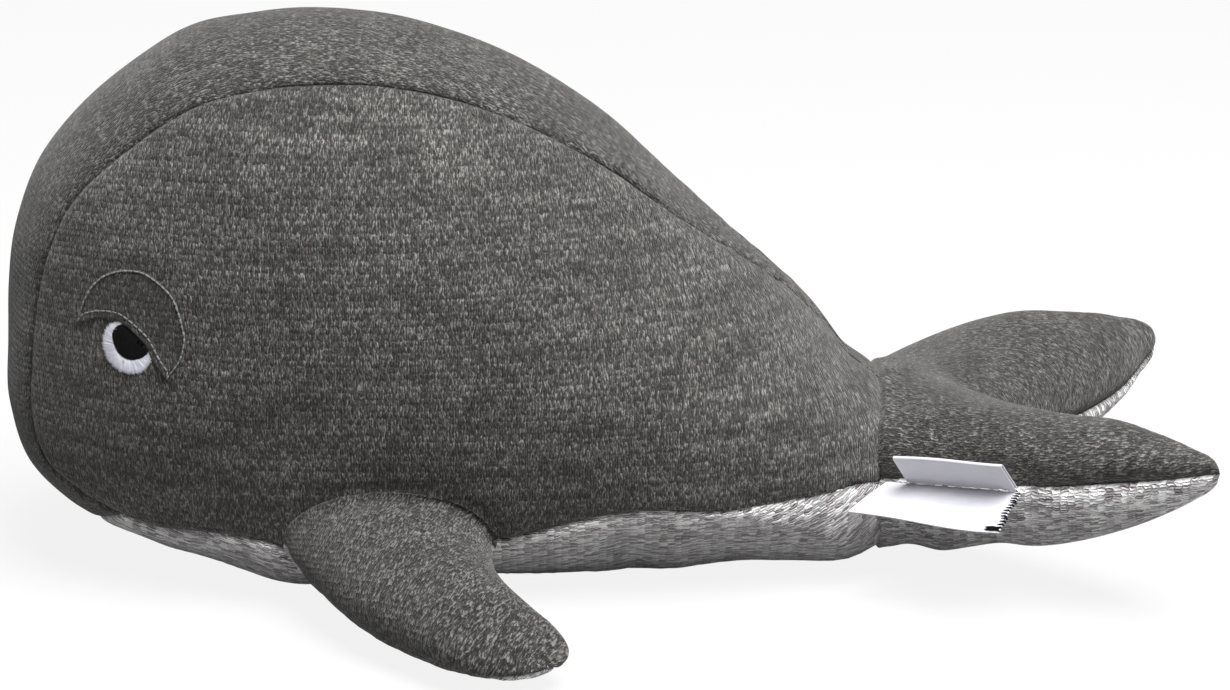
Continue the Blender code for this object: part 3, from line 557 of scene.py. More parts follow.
# %% Group: heathered yarn
def heather_group():
    """The colour of mixed yarn, from the stitch it is in, the row's own shade and loose pale fibres, with painted shade
    in the gaps between stitches and at the seams, and painted light beside the seams where asked.
    """
    group, wires, given, sent = new_group(
        "heathered yarn",
        [("Flat place", VECTOR, None), ("Height", FLOAT, 1.0), ("Hole", FLOAT, 0.0), ("Shade", FLOAT, 0.5),
         ("Tint", FLOAT, 0.5), ("Dark", COLOUR, (0.03, 0.03, 0.03, 1)), ("Middle", COLOUR, (0.09, 0.09, 0.09, 1)),
         ("Pale", COLOUR, (0.25, 0.25, 0.25, 1)), ("Banding", FLOAT, 0.3), ("Gap depth", FLOAT, 0.5),
         ("Seam distance", FLOAT, 1.0), ("Contrast", FLOAT, 1.0), ("Shade share", FLOAT, 0.4),
         ("Edge depth", FLOAT, 0.35), ("Fleck share", FLOAT, 1.0), ("Seam light", FLOAT, 0.0)],
        [("Colour", COLOUR), ("Fibre", FLOAT)],
    )
    place = wires.parts(given["Flat place"])
    rows, strands = (
        wires.vector(wires.times(place[0], x), wires.times(place[1], y)) for x, y in (BAND_SCALES, STRAND_SCALES)
    )
    bands = wires.spread(wires.noise(rows, 1.0, 3.0, 0.6), 0.28, 0.72, -1.0, 1.0)
    cloudy = wires.spread(wires.noise(given["Flat place"], CLOUD_SCALE, 2.0), 0.3, 0.7, -1.0, 1.0)
    level = wires.plus(wires.times(bands, given["Banding"]), wires.times(cloudy, CLOUD_SHARE))
    fibre = wires.noise(strands, 1.0, 3.0, 0.75)
    flecks = wires.times(wires.spread(fibre, 0.28, 0.72, -0.5, 0.5), given["Fleck share"])
    mixed = wires.plus(wires.times(wires.minus(given["Shade"], 0.5), given["Shade share"]), flecks)
    mixed = wires.plus(wires.times(mixed, given["Contrast"]), 0.5)
    base = wires.blend(wires.spread(mixed, 0.0, 0.62), given["Dark"], given["Middle"])
    base = wires.blend(wires.spread(mixed, 0.66, 1.12), base, given["Pale"])
    warm = wires.blend(wires.spread(given["Tint"], 0.1, 0.9), COOL_TINT, WARM_TINT)
    base = wires.blend(1.0, base, warm, "MULTIPLY")
    # Painted shade: the colour darkens on the low edges of each arm and, on a random share of the stitches, in the
    # holes between arms
    edge = wires.times(wires.power(wires.minus(1.0, given["Height"]), 2.0), given["Edge depth"])
    low = wires.math("MAXIMUM", edge, given["Hole"])
    uneven = wires.math("MAXIMUM", wires.minus(wires.times(given["Tint"], 2.4), 0.9), 0.0)
    depth = wires.times(uneven, given["Gap depth"])
    gap = wires.minus(1.0, wires.math("MINIMUM", wires.times(low, depth), DARKEST_GAP_SHADE))
    # Painted shade in the seam valley: the colour falls to half at the seam and at the turned-under edge
    near = wires.spread(given["Seam distance"], 0.0, 0.0012, 0.5, 1.0)
    # Painted light: the colour brightens from 2 to 12 mm beside the seam, by the share given as seam light
    painted_seam_light = wires.spread(given["Seam distance"], 0.002, 0.012, 1.0, 0.0)
    near = wires.times(near, wires.plus(1.0, wires.times(painted_seam_light, given["Seam light"])))
    bright = wires.times(wires.times(gap, wires.plus(1.0, level)), near)
    scaled = wires.node("ShaderNodeVectorMath", {"operation": "SCALE"}, Vector=base, Scale=bright).outputs[0]
    wires.feed(sent["Colour"], scaled)
    wires.feed(sent["Fibre"], fibre)
    return group


STITCHES = stitch_group()
YARN = heather_group()
print("groups", [group.name for group in bpy.data.node_groups])

# %% [markdown]
# ## The cloth finishes
#
# All the grey cloth is the same jersey. The side panels have the strongest bands, because their rows
# run level, and the gusset, the tail and the flippers are a touch darker. The belly is knitted from
# much paler, thicker yarn with a larger stitch. One function makes them all from the two groups, and
# the turn of the pattern says which way the columns run on that panel.

# %% Cloth material
def jersey(name, dark, middle, pale, column=0.0015, row=0.0018, turn=0.0, banding=0.12, contrast=1.2, gap=0.95,
           bump=0.00024, sheen=0.35, wander=0.8, share=0.4, edge=0.35, flecks=1.0, light=0.0):
    """Knitted cloth. column and row are a stitch's size in metres, and turn is in degrees. gap and edge set the painted
    shade between the stitches, and light the painted light beside the seams.
    """
    made, wires, shader = new_finish(name)
    flat = wires.node("ShaderNodeVectorRotate", {"rotation_type": "Z_AXIS"}, Vector=wires.flat_pattern(),
                      Angle=math.radians(turn)).outputs[0]
    near = wires.node("ShaderNodeAttribute", {"attribute_name": "seam_distance"}).outputs["Fac"]
    stitches = wires.node("ShaderNodeGroup", {"node_tree": STITCHES}, Flat_place=flat, Column_width=column,
                          Row_height=row, Wander=wander).outputs
    yarn = wires.node("ShaderNodeGroup", {"node_tree": YARN}, Flat_place=flat, Height=stitches["Height"],
                      Hole=stitches["Hole"], Shade=stitches["Shade"], Tint=stitches["Tint"], Dark=(*dark, 1),
                      Middle=(*middle, 1), Pale=(*pale, 1), Banding=banding, Gap_depth=gap, Seam_distance=near,
                      Contrast=contrast, Shade_share=share, Edge_depth=edge, Fleck_share=flecks,
                      Seam_light=light).outputs
    raised = wires.plus(stitches["Height"], wires.times(yarn["Fibre"], 0.5))
    wires.dress(shader, Base_Color=yarn["Colour"], Roughness=wires.spread(yarn["Fibre"], 0.2, 0.8, 0.82, 1.0),
                Normal=wires.bump(0.9, bump, raised), Specular_IOR_Level=0.25, Sheen_Weight=sheen,
                Sheen_Roughness=0.45, Sheen_Tint=(0.75, 0.74, 0.74, 1))
    return made


side_cloth = jersey("jersey_side", (0.026, 0.0252, 0.024), (0.084, 0.081, 0.0777), (0.272, 0.261, 0.251),
                    banding=0.32, contrast=1.45, gap=0.75)
back_cloth = jersey("jersey_back", (0.022, 0.0213, 0.0202), (0.071, 0.0683, 0.0655), (0.236, 0.226, 0.218),
                    banding=0.12, contrast=1.6)
tail_cloth = jersey("jersey_tail", (0.024, 0.0233, 0.0223), (0.079, 0.0761, 0.0732), (0.262, 0.252, 0.243),
                    turn=90, banding=0.18, contrast=1.45)
flipper_cloth = jersey("jersey_flipper", (0.017, 0.0165, 0.0158), (0.059, 0.0572, 0.0548), (0.225, 0.217, 0.209),
                       turn=38, banding=0.14, contrast=1.8)
# Its light value paints light beside the seams of the belly and of the flipper and tail undersides
pale_cloth = jersey("jersey_belly", (0.35, 0.34, 0.347), (0.80, 0.777, 0.792), (1.0, 0.99, 0.995),
                    column=0.0017, row=0.0021, turn=90, banding=0.14, contrast=1.1, gap=2.6, bump=0.00045,
                    sheen=0.25, wander=0.7, share=1.0, edge=0.4, flecks=0.5, light=0.50)
lid_cloth = jersey("jersey_eyelid", (0.022, 0.0215, 0.0205), (0.062, 0.06, 0.0577), (0.19, 0.182, 0.176),
                   banding=0.06, contrast=1.3)
print("cloth finishes", [m.name for m in bpy.data.materials if m.name.startswith("jersey")])

# %% [markdown]
# ## Cutting and sewing a panel
#
# Each panel is a fine grid laid on the body, with more rows near its seams. Sewing pulls the cloth
# down into a narrow valley and the stitches gather it, so small puckers run away from the seam on
# both sides. The edge of the cloth itself turns in between the panels. All of this is real
# geometry, because a seam is what the eye finds first on a soft toy.

# %% Gentle unevenness
RIPPLE_SCALES, LUMP_WAVES, LUMP_SUM = (1.0, 0.62, 0.41, 0.27), 14, 5  # that many waves rarely add up to more


def ripples(distance, wave, seed):
    """A smooth random line along a seam, from -1 to 1."""
    chance = np.random.default_rng(seed)
    found = np.zeros_like(distance)
    for scale in RIPPLE_SCALES:
        turn = math.tau * distance / (wave * scale * chance.uniform(0.85, 1.15))
        found += scale * np.sin(turn + chance.uniform(0, math.tau))
    return found / sum(RIPPLE_SCALES)


def lumps(points, size, seed):
    """A smooth random field in space, from -1 to 1, like stuffing felt through cloth."""
    chance = np.random.default_rng(seed)
    found = np.zeros(points.shape[:-1])
    for _ in range(LUMP_WAVES):
        way = chance.normal(size=3)
        way /= np.linalg.norm(way)
        turn = points @ way * math.tau / (size * chance.uniform(0.7, 1.6))
        found += np.sin(turn + chance.uniform(0, math.tau))
    return found / LUMP_SUM


# %% A grid as a mesh
def grid_normals(points, centre):
    """Unit normals of a grid of points, facing away from the centre."""
    normals = np.cross(np.gradient(points, axis=1), np.gradient(points, axis=0))
    normals /= np.maximum(np.linalg.norm(normals, axis=-1, keepdims=True), 1e-12)
    return normals * np.sign(((points - centre) * normals).sum(axis=-1).mean())


def panel_mesh(name, points, flat, distance, finish, wrap=False, pole=False):
    """A mesh from a grid, with its flat pattern and its distance from the seam stored on it."""
    rows, columns = points.shape[:2]
    numbers = np.arange(rows * columns).reshape(rows, columns)
    left, right = (numbers, np.roll(numbers, -1, axis=1)) if wrap else (numbers[:, :-1], numbers[:, 1:])
    faces = np.stack([left[:-1], right[:-1], right[1:], left[1:]], axis=-1).reshape(-1, 4).tolist()
    corners, places, away = points.reshape(-1, 3), flat.reshape(-1, 2), distance.ravel()
    middle = corners.mean(axis=0)
    if pole:
        top = len(corners)
        corners = np.vstack([corners, points[-1].mean(axis=0)])
        places = np.vstack([places, flat[-1].mean(axis=0)])
        away = np.append(away, away[-1])
        faces += [[a, b, top] for a, b in zip(left[-1], right[-1])]
    one = np.array([corners[k] for k in faces[len(faces) // 2][:3]])
    if np.cross(one[1] - one[0], one[2] - one[0]) @ (one[0] - middle) < 0:
        faces = [face[::-1] for face in faces]
    obj = smooth_object(name, corners, faces, finish, places)
    obj.data.attributes.new("seam_distance", "FLOAT", "POINT").data.foreach_set("value", away)
    return obj


# %% From a grid to a sewn panel
SEAM_DEPTH, SEAM_SPREAD, HEM = 0.0010, 0.0009, 0.0022
SHOULDER, SHOULDER_AT, SHOULDER_WIDTH = 0.0003, 0.006, 0.005  # the low rise beside a seam
PUCKER, PUCKER_WAVE, PUCKER_REACH = 0.00035, 0.011, 0.006
LUMP, LUMP_SIZE = 0.00035, 0.034
SEAM_ROUNDING, PUCKER_START = 1.3, 0.001
SEAM_SHIFT, TIP_CALM = 0.37, 0.005  # sets one seam's puckers off from the next one's; the calm round a tip


def sewn_panel(name, points, flat, seams, finish, seed, bag, extra=None, hems=("top", "bottom", "left", "right"),
               wrap=False, pole=False, pucker=PUCKER, depth=SEAM_DEPTH, floor=0.0, turned_in=None, tips=None):
    """Lays a grid of cloth on its bag, draws it in at the seams and turns its edges under."""
    centre = points.reshape(-1, 3).mean(axis=0)
    if wrap:
        wide = np.concatenate([points[:, -1:], points, points[:, :1]], axis=1)
        normals = grid_normals(wide, centre)[:, 1:-1]
    else:
        normals = grid_normals(points, centre)
    distance, number = nearest(tree_of(np.vstack(seams)), points)
    along = np.concatenate([walked(seam) + SEAM_SHIFT * k for k, seam in enumerate(seams)])[number]
    lift = -depth * np.exp(-((distance / SEAM_SPREAD) ** SEAM_ROUNDING))
    lift = lift + SHOULDER * hump(distance, SHOULDER_AT, SHOULDER_WIDTH)
    gathered = np.exp(-distance / PUCKER_REACH) * np.clip(distance / PUCKER_START, 0, 1)
    lift += pucker * ripples(along, PUCKER_WAVE, seed) * gathered
    lift += LUMP * lumps(points, LUMP_SIZE, seed + 1)
    if extra is not None:
        lift = lift + extra(points)
    calm = np.ones(points.shape[:2])
    if tips is not None:
        calm = np.clip(nearest(tree_of(tips), points)[0] / TIP_CALM, 0, 1)
    points = points + bag.moved(points) * calm[..., None]
    points = points + normals * (lift * calm)[..., None]
    for hem in hems:
        first = hem in ("top", "left")
        axis = 0 if hem in ("top", "bottom") else 1
        ends = [0, 1] if first else [-1, -2]
        edge, outward, room = (np.take(grid, ends[:1], axis=axis) for grid in (points, normals, calm))
        at_edge, beside = (np.take(flat, [end], axis=axis) for end in ends)
        if turned_in and hem in turned_in:
            under = turned_in[hem](edge)
        else:
            under = edge - outward * HEM * np.clip(3 * room, 0, 1)[..., None]
        onward = at_edge - beside
        onward /= np.maximum(np.linalg.norm(onward, axis=-1, keepdims=True), 1e-9)
        hem_flat = at_edge + onward * np.linalg.norm(under - edge, axis=-1, keepdims=True)
        # The turned-under edge gets a seam distance of 0, which paints the darkest seam shade there
        pairs = (under, points), (outward, normals), (hem_flat, flat), (room, calm), (room * 0, distance)
        points, normals, flat, calm, distance = (
            np.concatenate(pair if first else pair[::-1], axis=axis) for pair in pairs
        )
    points[..., 2] = np.maximum(points[..., 2], floor)
    obj = panel_mesh(name, points, flat, distance, finish, wrap, pole)
    print(name, len(obj.data.polygons), "faces")
    return obj


# %% [markdown]
# ## Body: the bag and its seams
#
# The bag is the whole body closed up, a little smaller than the finished whale. It is held along
# the seams beside the gusset and the belly, under the chin and where the flippers are sewn on.

# %% Seams of the body
BAG_INSET, SWELL = 0.0016, 0.0026
HIGH_Z, HIGH_SEAM_END, LOW_SEAM_END = 0.04, TAIL_SEAM_X - 0.018, TAIL_SEAM_X - 0.0015
FLIPPER_ROOT_X, FLIPPER_ROOT_Z = NOSE_X + 0.112, 0.024
FLIPPER_ROOT_HALF_CHORD, FLIPPER_ROOT_HALF_THICKNESS, FLIPPER_ROOT_DROOP = 0.030, 0.0142, 0.0022


def seam_line(low, high, side, count=400):
    degrees = np.linspace(low, high, count)
    points = body_at(degrees, seam_turn(degrees), BAG_INSET, side)
    return points[points[:, 0] < np.where(points[:, 2] > HIGH_Z, HIGH_SEAM_END, LOW_SEAM_END)]


def flipper_root_line(side, inset=BAG_INSET, count=96):
    angle = np.linspace(0, math.tau, count)
    x = FLIPPER_ROOT_X + FLIPPER_ROOT_HALF_CHORD * np.cos(angle)
    z = FLIPPER_ROOT_Z + FLIPPER_ROOT_HALF_THICKNESS * np.sin(angle) - FLIPPER_ROOT_DROOP * np.abs(np.cos(angle)) ** 3
    z = np.maximum(z, 0.006)
    return np.column_stack([x, side * body_half_width(x, z, inset), z])


body_seams = {side: seam_line(END_START, END_START + 360, side, 900) for side in (-1, 1)}
chin_turn = float(seam_turn(CHIN))
chin_seam = body_at(CHIN, np.linspace(-chin_turn, chin_turn, 80), BAG_INSET)
held = [*body_seams.values(), chin_seam, *(flipper_root_line(side) for side in (-1, 1))]

# %% Body bag
DIRECTIONS, HALF_RINGS = 120, 34
directions = np.linspace(0, 360, DIRECTIONS, endpoint=False)
half_turns, _ = even_grid(directions, np.zeros(DIRECTIONS), np.full(DIRECTIONS, math.pi / 2),
                          np.linspace(0, 1, HALF_RINGS), 1, BAG_INSET)
left = [body_at(directions, turns, BAG_INSET, -1) for turns in half_turns[::-1]]
right = [body_at(directions, turns, BAG_INSET, 1) for turns in half_turns[1:]]
rings = drawn_in(np.array(left + right))
body_bag = Bag("stuffing_body", rings, tube_faces(*rings.shape[:2]), np.vstack(held),
               voxel=0.005, pressure=22.0, swell=SWELL, held_width=0.006)

# %% [markdown]
# ## Side panels
#
# A side panel is one large piece, and its knitted columns stand upright. Its grid is a wheel: the
# spokes run from the seam to the widest point. The flat pattern measures each place along its
# spoke, which is how cloth lies over a dome, so the stitches keep their size all over it.

# %% Folds that the photograph shows
BELLY_FOLDS = (  # place along the whale, width and height
    (0.012, 0.004, -0.0010), (0.024, 0.006, 0.0005), (0.060, 0.006, -0.0008), (0.072, 0.005, 0.0006),
)
BELLY_FOLD_SLANT, BELLY_FOLD_TOP, BELLY_FOLD_SIDE, BELLY_FOLD_FADE = 0.25, 0.012, 0.012, 0.02
ROOT_DIMPLE, ROOT_DIMPLE_WIDTH = 0.0011, 0.0026


def body_folds(points):
    """A dimple round each flipper's root, and soft folds across the belly near the tail."""
    roots = np.vstack([flipper_root_line(side, 0.0) for side in (-1, 1)])
    away, _ = nearest(tree_of(roots), points)
    x, y, z = np.moveaxis(points, -1, 0)
    low = np.clip(1 - (z - BELLY_FOLD_TOP) / BELLY_FOLD_FADE, 0, 1)
    low = low * np.clip((np.abs(y) - BELLY_FOLD_SIDE) / BELLY_FOLD_FADE, 0, 1)
    folds = sum(height * hump(x + BELLY_FOLD_SLANT * z, place, width) for place, width, height in BELLY_FOLDS)
    return -ROOT_DIMPLE * hump(away, 0, ROOT_DIMPLE_WIDTH) + folds * low


# %% Side panels
NEAR_SEAM = np.array([0, 0.25, 0.5, 0.75, 1.0, 1.3, 1.6, 2.0, 2.5, 3.1, 3.8, 4.6, 5.5, 6.5]) / 1000
spokes = np.concatenate([np.linspace(0, 360, 450, endpoint=False), np.linspace(357.5, 359.97, 20)])
spokes = np.unique(np.round(spokes, 4)) + END_START
outward = np.stack([np.cos(np.radians(spokes)), np.sin(np.radians(spokes))], axis=-1)
side_panels = {}
for name, side in (("left", -1), ("right", 1)):
    reach = seam_turn(spokes), np.full(len(spokes), math.pi / 2)
    mean = even_grid(spokes, *reach, (0, 1), side, BAG_INSET)[1].mean()
    stops = np.concatenate([NEAR_SEAM / mean, np.linspace(NEAR_SEAM[-1] / mean, 0.992, 66)[1:]])
    turns, lengths = even_grid(spokes, *reach, stops, side, BAG_INSET)
    points = drawn_in(body_at(spokes, turns, BAG_INSET, side))
    flat = ((1 - stops)[:, None] * lengths)[..., None] * outward
    piece = sewn_panel(f"cloth_side_{name}", points, flat, [body_seams[side]], side_cloth, 11 + side, body_bag,
                       body_folds, hems=("top",), wrap=True, pole=True)
    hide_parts(f"side_panel_{name}")
    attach(piece, "body")
    side_panels[name] = piece

# %% [markdown]
# ## Gusset and belly panel
#
# These are long strips that follow the outline. The gusset's flat pattern is measured across it and
# along its middle, so its columns run lengthwise over the back, as the photograph shows. The belly's
# is measured along the whale and round the belly from its middle, so its rows run level below the
# seam.

# %% Middle strips
ROWS_PER_DEGREE, END_DEGREES = 1.35, 2.5  # the second is how near an end the rows stand closer


def middle_strip(name, low, high, finish, seed, seams, lengthwise):
    count = int((high - low) * ROWS_PER_DEGREE)
    ends = np.linspace(0, END_DEGREES, 9)
    places = np.unique(np.concatenate([np.linspace(low, high, count), low + ends, high - ends]))
    half = np.concatenate([[0], np.cumsum(np.linspace(1.9, 0.3, 26))])
    half = half / half[-1]
    right, lengths = even_grid(places, np.zeros(len(places)), seam_turn(places), half, 1, BAG_INSET)
    turns = np.concatenate([-right[:0:-1], right])
    points = drawn_in(body_at(places, turns, BAG_INSET))
    if lengthwise:
        across = np.concatenate([-half[:0:-1], half])[:, None] * lengths
        flat = np.stack([across, np.broadcast_to(walked(body_at(places, 0, BAG_INSET)), across.shape)], axis=-1)
    else:
        x, y, z = np.moveaxis(points, -1, 0)
        flat = np.stack([x, y / (np.abs(y) + 0.002) * (np.abs(y) + z)], axis=-1)
    piece = sewn_panel(name, points, flat, seams, finish, seed, body_bag, body_folds)
    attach(piece, "body")
    return piece


gusset_seams = [seam_line(END_START, CHIN, side) for side in (-1, 1)] + [chin_seam]
gusset = middle_strip("cloth_gusset", END_START, CHIN, back_cloth, 31, gusset_seams, True)
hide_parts("back_gusset")
belly_seams = [seam_line(CHIN, 360 + END_START, side) for side in (-1, 1)] + [chin_seam]
belly = middle_strip("cloth_belly", CHIN, 359.98 + END_START, pale_cloth, 41, belly_seams, False)
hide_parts("belly_panel")

# %% [markdown]
# ## Stuffing
#
# The filling is white polyester fibre. It can't be seen while the whale is whole, but the part is
# also looked at piece by piece, so it is there, tufted and matt.

# %% Fibre finish
def fibre_finish():
    made, wires, shader = new_finish("filling_fibre")
    place = wires.object_place()
    tufts = wires.noise(place, 90.0, 6.0, 0.65)
    strands = wires.noise(place, 700.0, 4.0, 0.8)
    bulk = wires.plus(tufts, wires.times(strands, 0.3))
    wires.dress(shader, Base_Color=wires.blend(tufts, (0.68, 0.67, 0.64, 1), (0.86, 0.85, 0.83, 1)),
                Roughness=wires.spread(strands, 0.2, 0.8, 0.85, 1.0), Normal=wires.bump(0.8, 0.002, bulk),
                Sheen_Weight=0.3)
    return made


fibre = fibre_finish()
BODY_FILL_DEPTH, FILL_DEPTH = 0.0030, 0.0026  # how far the stuffing stays below the cloth
stuffing = body_bag.fill(BODY_FILL_DEPTH, ["body_filling"], fibre)
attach(stuffing, "body")

# %% [markdown]
# ## Flippers
#
# A flipper is two skins sewn together round the edge, dark above and pale below, stuffed and sewn
# to the body at its root. Sections run from root to tip: each is a flat oval, wide at the body,
# swept back and rounded off at the tip. Near the root the skins follow the body at the seam, and a
# little way out the flipper's own shape.

# %% Lay a panel flat
def lay_flat(obj, start, end, columns):
    """Unwraps a panel to its flat pattern in metres, with the line from start to end lengthwise."""
    for other in bpy.context.view_layer.objects:
        other.select_set(False)
    obj.select_set(True)
    bpy.context.view_layer.objects.active = obj
    bpy.ops.object.mode_set(mode="EDIT")
    bpy.ops.mesh.select_all(action="SELECT")
    bpy.ops.uv.unwrap(method="CONFORMAL", margin=0)
    bpy.ops.object.mode_set(mode="OBJECT")
    mesh = obj.data
    layer = mesh.uv_layers["flat_pattern"].data
    found = np.empty(len(layer) * 2)
    layer.foreach_get("uv", found)
    found = found.reshape(-1, 2)
    spots = np.zeros((len(mesh.vertices), 2))
    spots[loop_vertices(mesh)] = found
    places = vertex_values(mesh, "co")
    a, b = ((row + 1) * columns + column + 1 for row, column in (start, end))
    along = (spots[b] - spots[a]) / np.linalg.norm(spots[b] - spots[a])
    first, second, third = np.array([p.vertices[:3] for p in mesh.polygons]).T
    real = np.linalg.norm(np.cross(places[second] - places[first], places[third] - places[first]), axis=1)
    one, two = spots[second] - spots[first], spots[third] - spots[first]
    drawn = np.abs(one[:, 0] * two[:, 1] - one[:, 1] * two[:, 0])
    size = math.sqrt(real.sum() / drawn.sum())
    turned = (found - spots[a]) @ np.array([[along[0], -along[1]], [along[1], along[0]]]) * size
    layer.foreach_set("uv", turned.ravel())
    print(obj.name, "laid flat, scale", round(size, 4))


# %% Flipper sections
FLIPPER_SHAPE = np.array([  # place from root to tip, then shares of sweep, reach, chord and thickness
    (0.00, 0.000, 0.000, 1.00, 1.00), (0.25, 0.053, 0.235, 0.87, 0.98), (0.50, 0.242, 0.521, 0.716, 0.88),
    (0.75, 0.554, 0.743, 0.66, 0.85), (1.00, 1.000, 1.000, 0.91, 0.70),
])
FLIPPER_SWEEP, FLIPPER_REACH, FLIPPER_TIP_Z = 0.0436, 0.1160, 0.0084
FLIPPER_TURN = 0.44  # how far the sections turn back with the sweep
ROUND_FROM, ROUND_POWER = 0.436, 2.12
FLIPPER_INSET, FLIPPER_ROLL = 0.0011, 0.95


def flipper_at(place, turn, side, up):
    """Points of a flipper's skin. turn goes from 0 at the leading edge to pi at the trailing edge."""
    sweep, reach, chord, thickness = (eased(FLIPPER_SHAPE[:, [0, k]], place) for k in range(1, 5))
    root_y = float(body_half_width(FLIPPER_ROOT_X, FLIPPER_ROOT_Z))
    beyond = np.clip(place - ROUND_FROM, 0, 1) / (1 - ROUND_FROM)
    rounding = np.sqrt(np.clip(1 - beyond**ROUND_POWER, 0, 1))
    y = root_y + (FLIPPER_REACH - root_y) * reach
    z = FLIPPER_ROOT_Z + (FLIPPER_TIP_Z - FLIPPER_ROOT_Z) * reach
    half_chord = np.maximum(FLIPPER_ROOT_HALF_CHORD * chord * rounding - FLIPPER_INSET, 0)
    half_thickness = np.maximum(FLIPPER_ROOT_HALF_THICKNESS * thickness * rounding - FLIPPER_INSET, 0)
    across = -np.cos(turn)
    px = FLIPPER_ROOT_X + FLIPPER_SWEEP * sweep + half_chord * across
    py = y - FLIPPER_SWEEP * FLIPPER_TURN * across * place * half_chord / FLIPPER_ROOT_HALF_CHORD
    droop = FLIPPER_ROOT_DROOP * np.abs(across) ** 3 * (1 - place) ** 2
    pz = z + up * half_thickness * np.sin(turn) - droop
    py = py + (body_half_width(px, pz) - y) * (1 - place) ** 2
    return np.stack([px, side * py, np.maximum(pz, 0.0006 + FLIPPER_INSET * 0.3)], axis=-1)


def flipper_grid(side, up, rows=84, columns=64):
    """One skin as a grid. The upper skin rolls under the edge, further out than at the root."""
    place = np.sin(math.pi / 2 * np.linspace(0, 1, rows))[:, None]
    share = np.linspace(0, 1, columns)[None, :]
    even = share - 0.75 * np.sin(math.tau * share) / math.tau
    under = up * FLIPPER_ROLL * np.clip(place / 0.4, 0, 1) ** 1.5
    turn = -under + (math.pi + 2 * under) * even
    place, turn = np.broadcast_arrays(place, turn)
    return flipper_at(place, turn, side, up)


# %% Flipper skins
FLIPPER_SKINS = ("top", 1, flipper_cloth, "heather_dark"), ("underside", -1, pale_cloth, "heather_light")
for name, side in (("left", -1), ("right", 1)):
    upper, lower = (flipper_grid(side, up, 40, 30) for up in (1, -1))
    rings, faces = closed_rings(upper, lower)
    edges = np.vstack([upper[:, 0], upper[:, -1], rings[0]])
    bag = Bag(f"stuffing_flipper_{name}", rings, faces, edges, voxel=0.0035, pressure=30.0, swell=0.0018,
              held_width=0.003)
    for skin, up, finish, slot in FLIPPER_SKINS:
        points = flipper_grid(side, up)
        rows, columns = points.shape[:2]
        middle = columns // 2
        across, down = walked(points, 1), walked(points, 0)
        flat = np.stack([across - across[:, [middle]], np.broadcast_to(down[:, [middle]], across.shape)], axis=-1)
        piece = sewn_panel(f"cloth_flipper_{skin}_{name}", points, flat, [points[:, 0], points[:, -1]], finish,
                           61 + 3 * side + up, bag, hems=("top", "left", "right"), depth=0.0007, pucker=0.0003,
                           floor=0.0003, tips=[points[-1].mean(axis=0)],
                           turned_in={"top": lambda edge: edge - (0, side * 0.0035, 0)})
        lay_flat(piece, (0, middle), (rows // 2, middle), columns + 2)
        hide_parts(f"flipper_{skin}_{name}")
        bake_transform(piece)
    filling = bag.fill(FILL_DEPTH, [f"flipper_filling_{name}"], fibre)
    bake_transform(filling)

# %% [markdown]
# ## Tail
#
# The forked tail is also two skins and a filling. In plan each half lies between a leading edge,
# from the seam to the tip, and a trailing edge, from the notch to the tip. A patch stretched
# between those edges gives every place in plan, and the cloth's height grows with its distance
# from both edges. The edge itself rises towards the tips.

# %% Edges of the flukes
TAIL_LENGTH, TAIL_HALF_SPAN, TAIL_SEAM_Z = 0.089, 0.070, 0.0315
LEADING = [
    (0.000, 0.457), (0.120, 0.570), (0.300, 0.725), (0.520, 0.865), (0.780, 0.958), (0.890, 0.980), (0.990, 0.980),
]
TRAILING = [
    (0.337, 0.000), (0.480, 0.190), (0.690, 0.430), (0.850, 0.640), (0.950, 0.830), (0.985, 0.895), (0.990, 0.980),
]
leading = smooth_through(LEADING) * (TAIL_LENGTH, TAIL_HALF_SPAN)
trailing = smooth_through(TRAILING) * (TAIL_LENGTH, TAIL_HALF_SPAN)


def on_curve(curve, share):
    """Points at shares of a curve's length."""
    along = walked(curve)
    return np.stack([np.interp(np.asarray(share) * along[-1], along, curve[:, axis]) for axis in (0, 1)], axis=-1)


def away_from(curve, places):
    """The distance of places in plan from a curve."""
    a, along = curve[:-1], np.diff(curve, axis=0)
    offset = places[..., None, :] - a
    share = np.clip((offset * along).sum(axis=-1) / (along**2).sum(axis=-1), 0, 1)
    return np.linalg.norm(offset - along * share[..., None], axis=-1).min(axis=-1)


def tail_seam_height(place):
    """The height of the edge between the two skins, which rises towards the tips."""
    shares = np.clip(place / (TAIL_LENGTH, TAIL_HALF_SPAN), 0, None)
    return TAIL_SEAM_Z + TIP_RISE * shares[..., 0] ** 0.65 * shares[..., 1] ** 1.40


# %% Tail skins in plan and height
TAIL_INSET, TIP_RISE, REAR_DROP = 0.0014, 0.0147, 0.0056
TOP_HEIGHT, UNDER_HEIGHT = 0.0224, 0.0309
MIDDLE_HALF, MIDDLE_PULL = 0.018, 0.4  # the tail's middle, and how far the leading edges bend into it
FULL_LEADING, FULL_TRAILING = 0.032, 0.030  # the distances from both edges at which the cloth is at its height
HINGE_Z, HINGE_SLOPE = 0.046, math.tan(math.radians(15))  # above this the front leans back, to clear the body
RIDGE = 0.0034  # the crest of the near half
FAR_DROP, FAR_HUMPS = 0.0037, ((0.0019, 0.040, 0.022), (0.0011, 0.068, 0.009))  # height, place and width


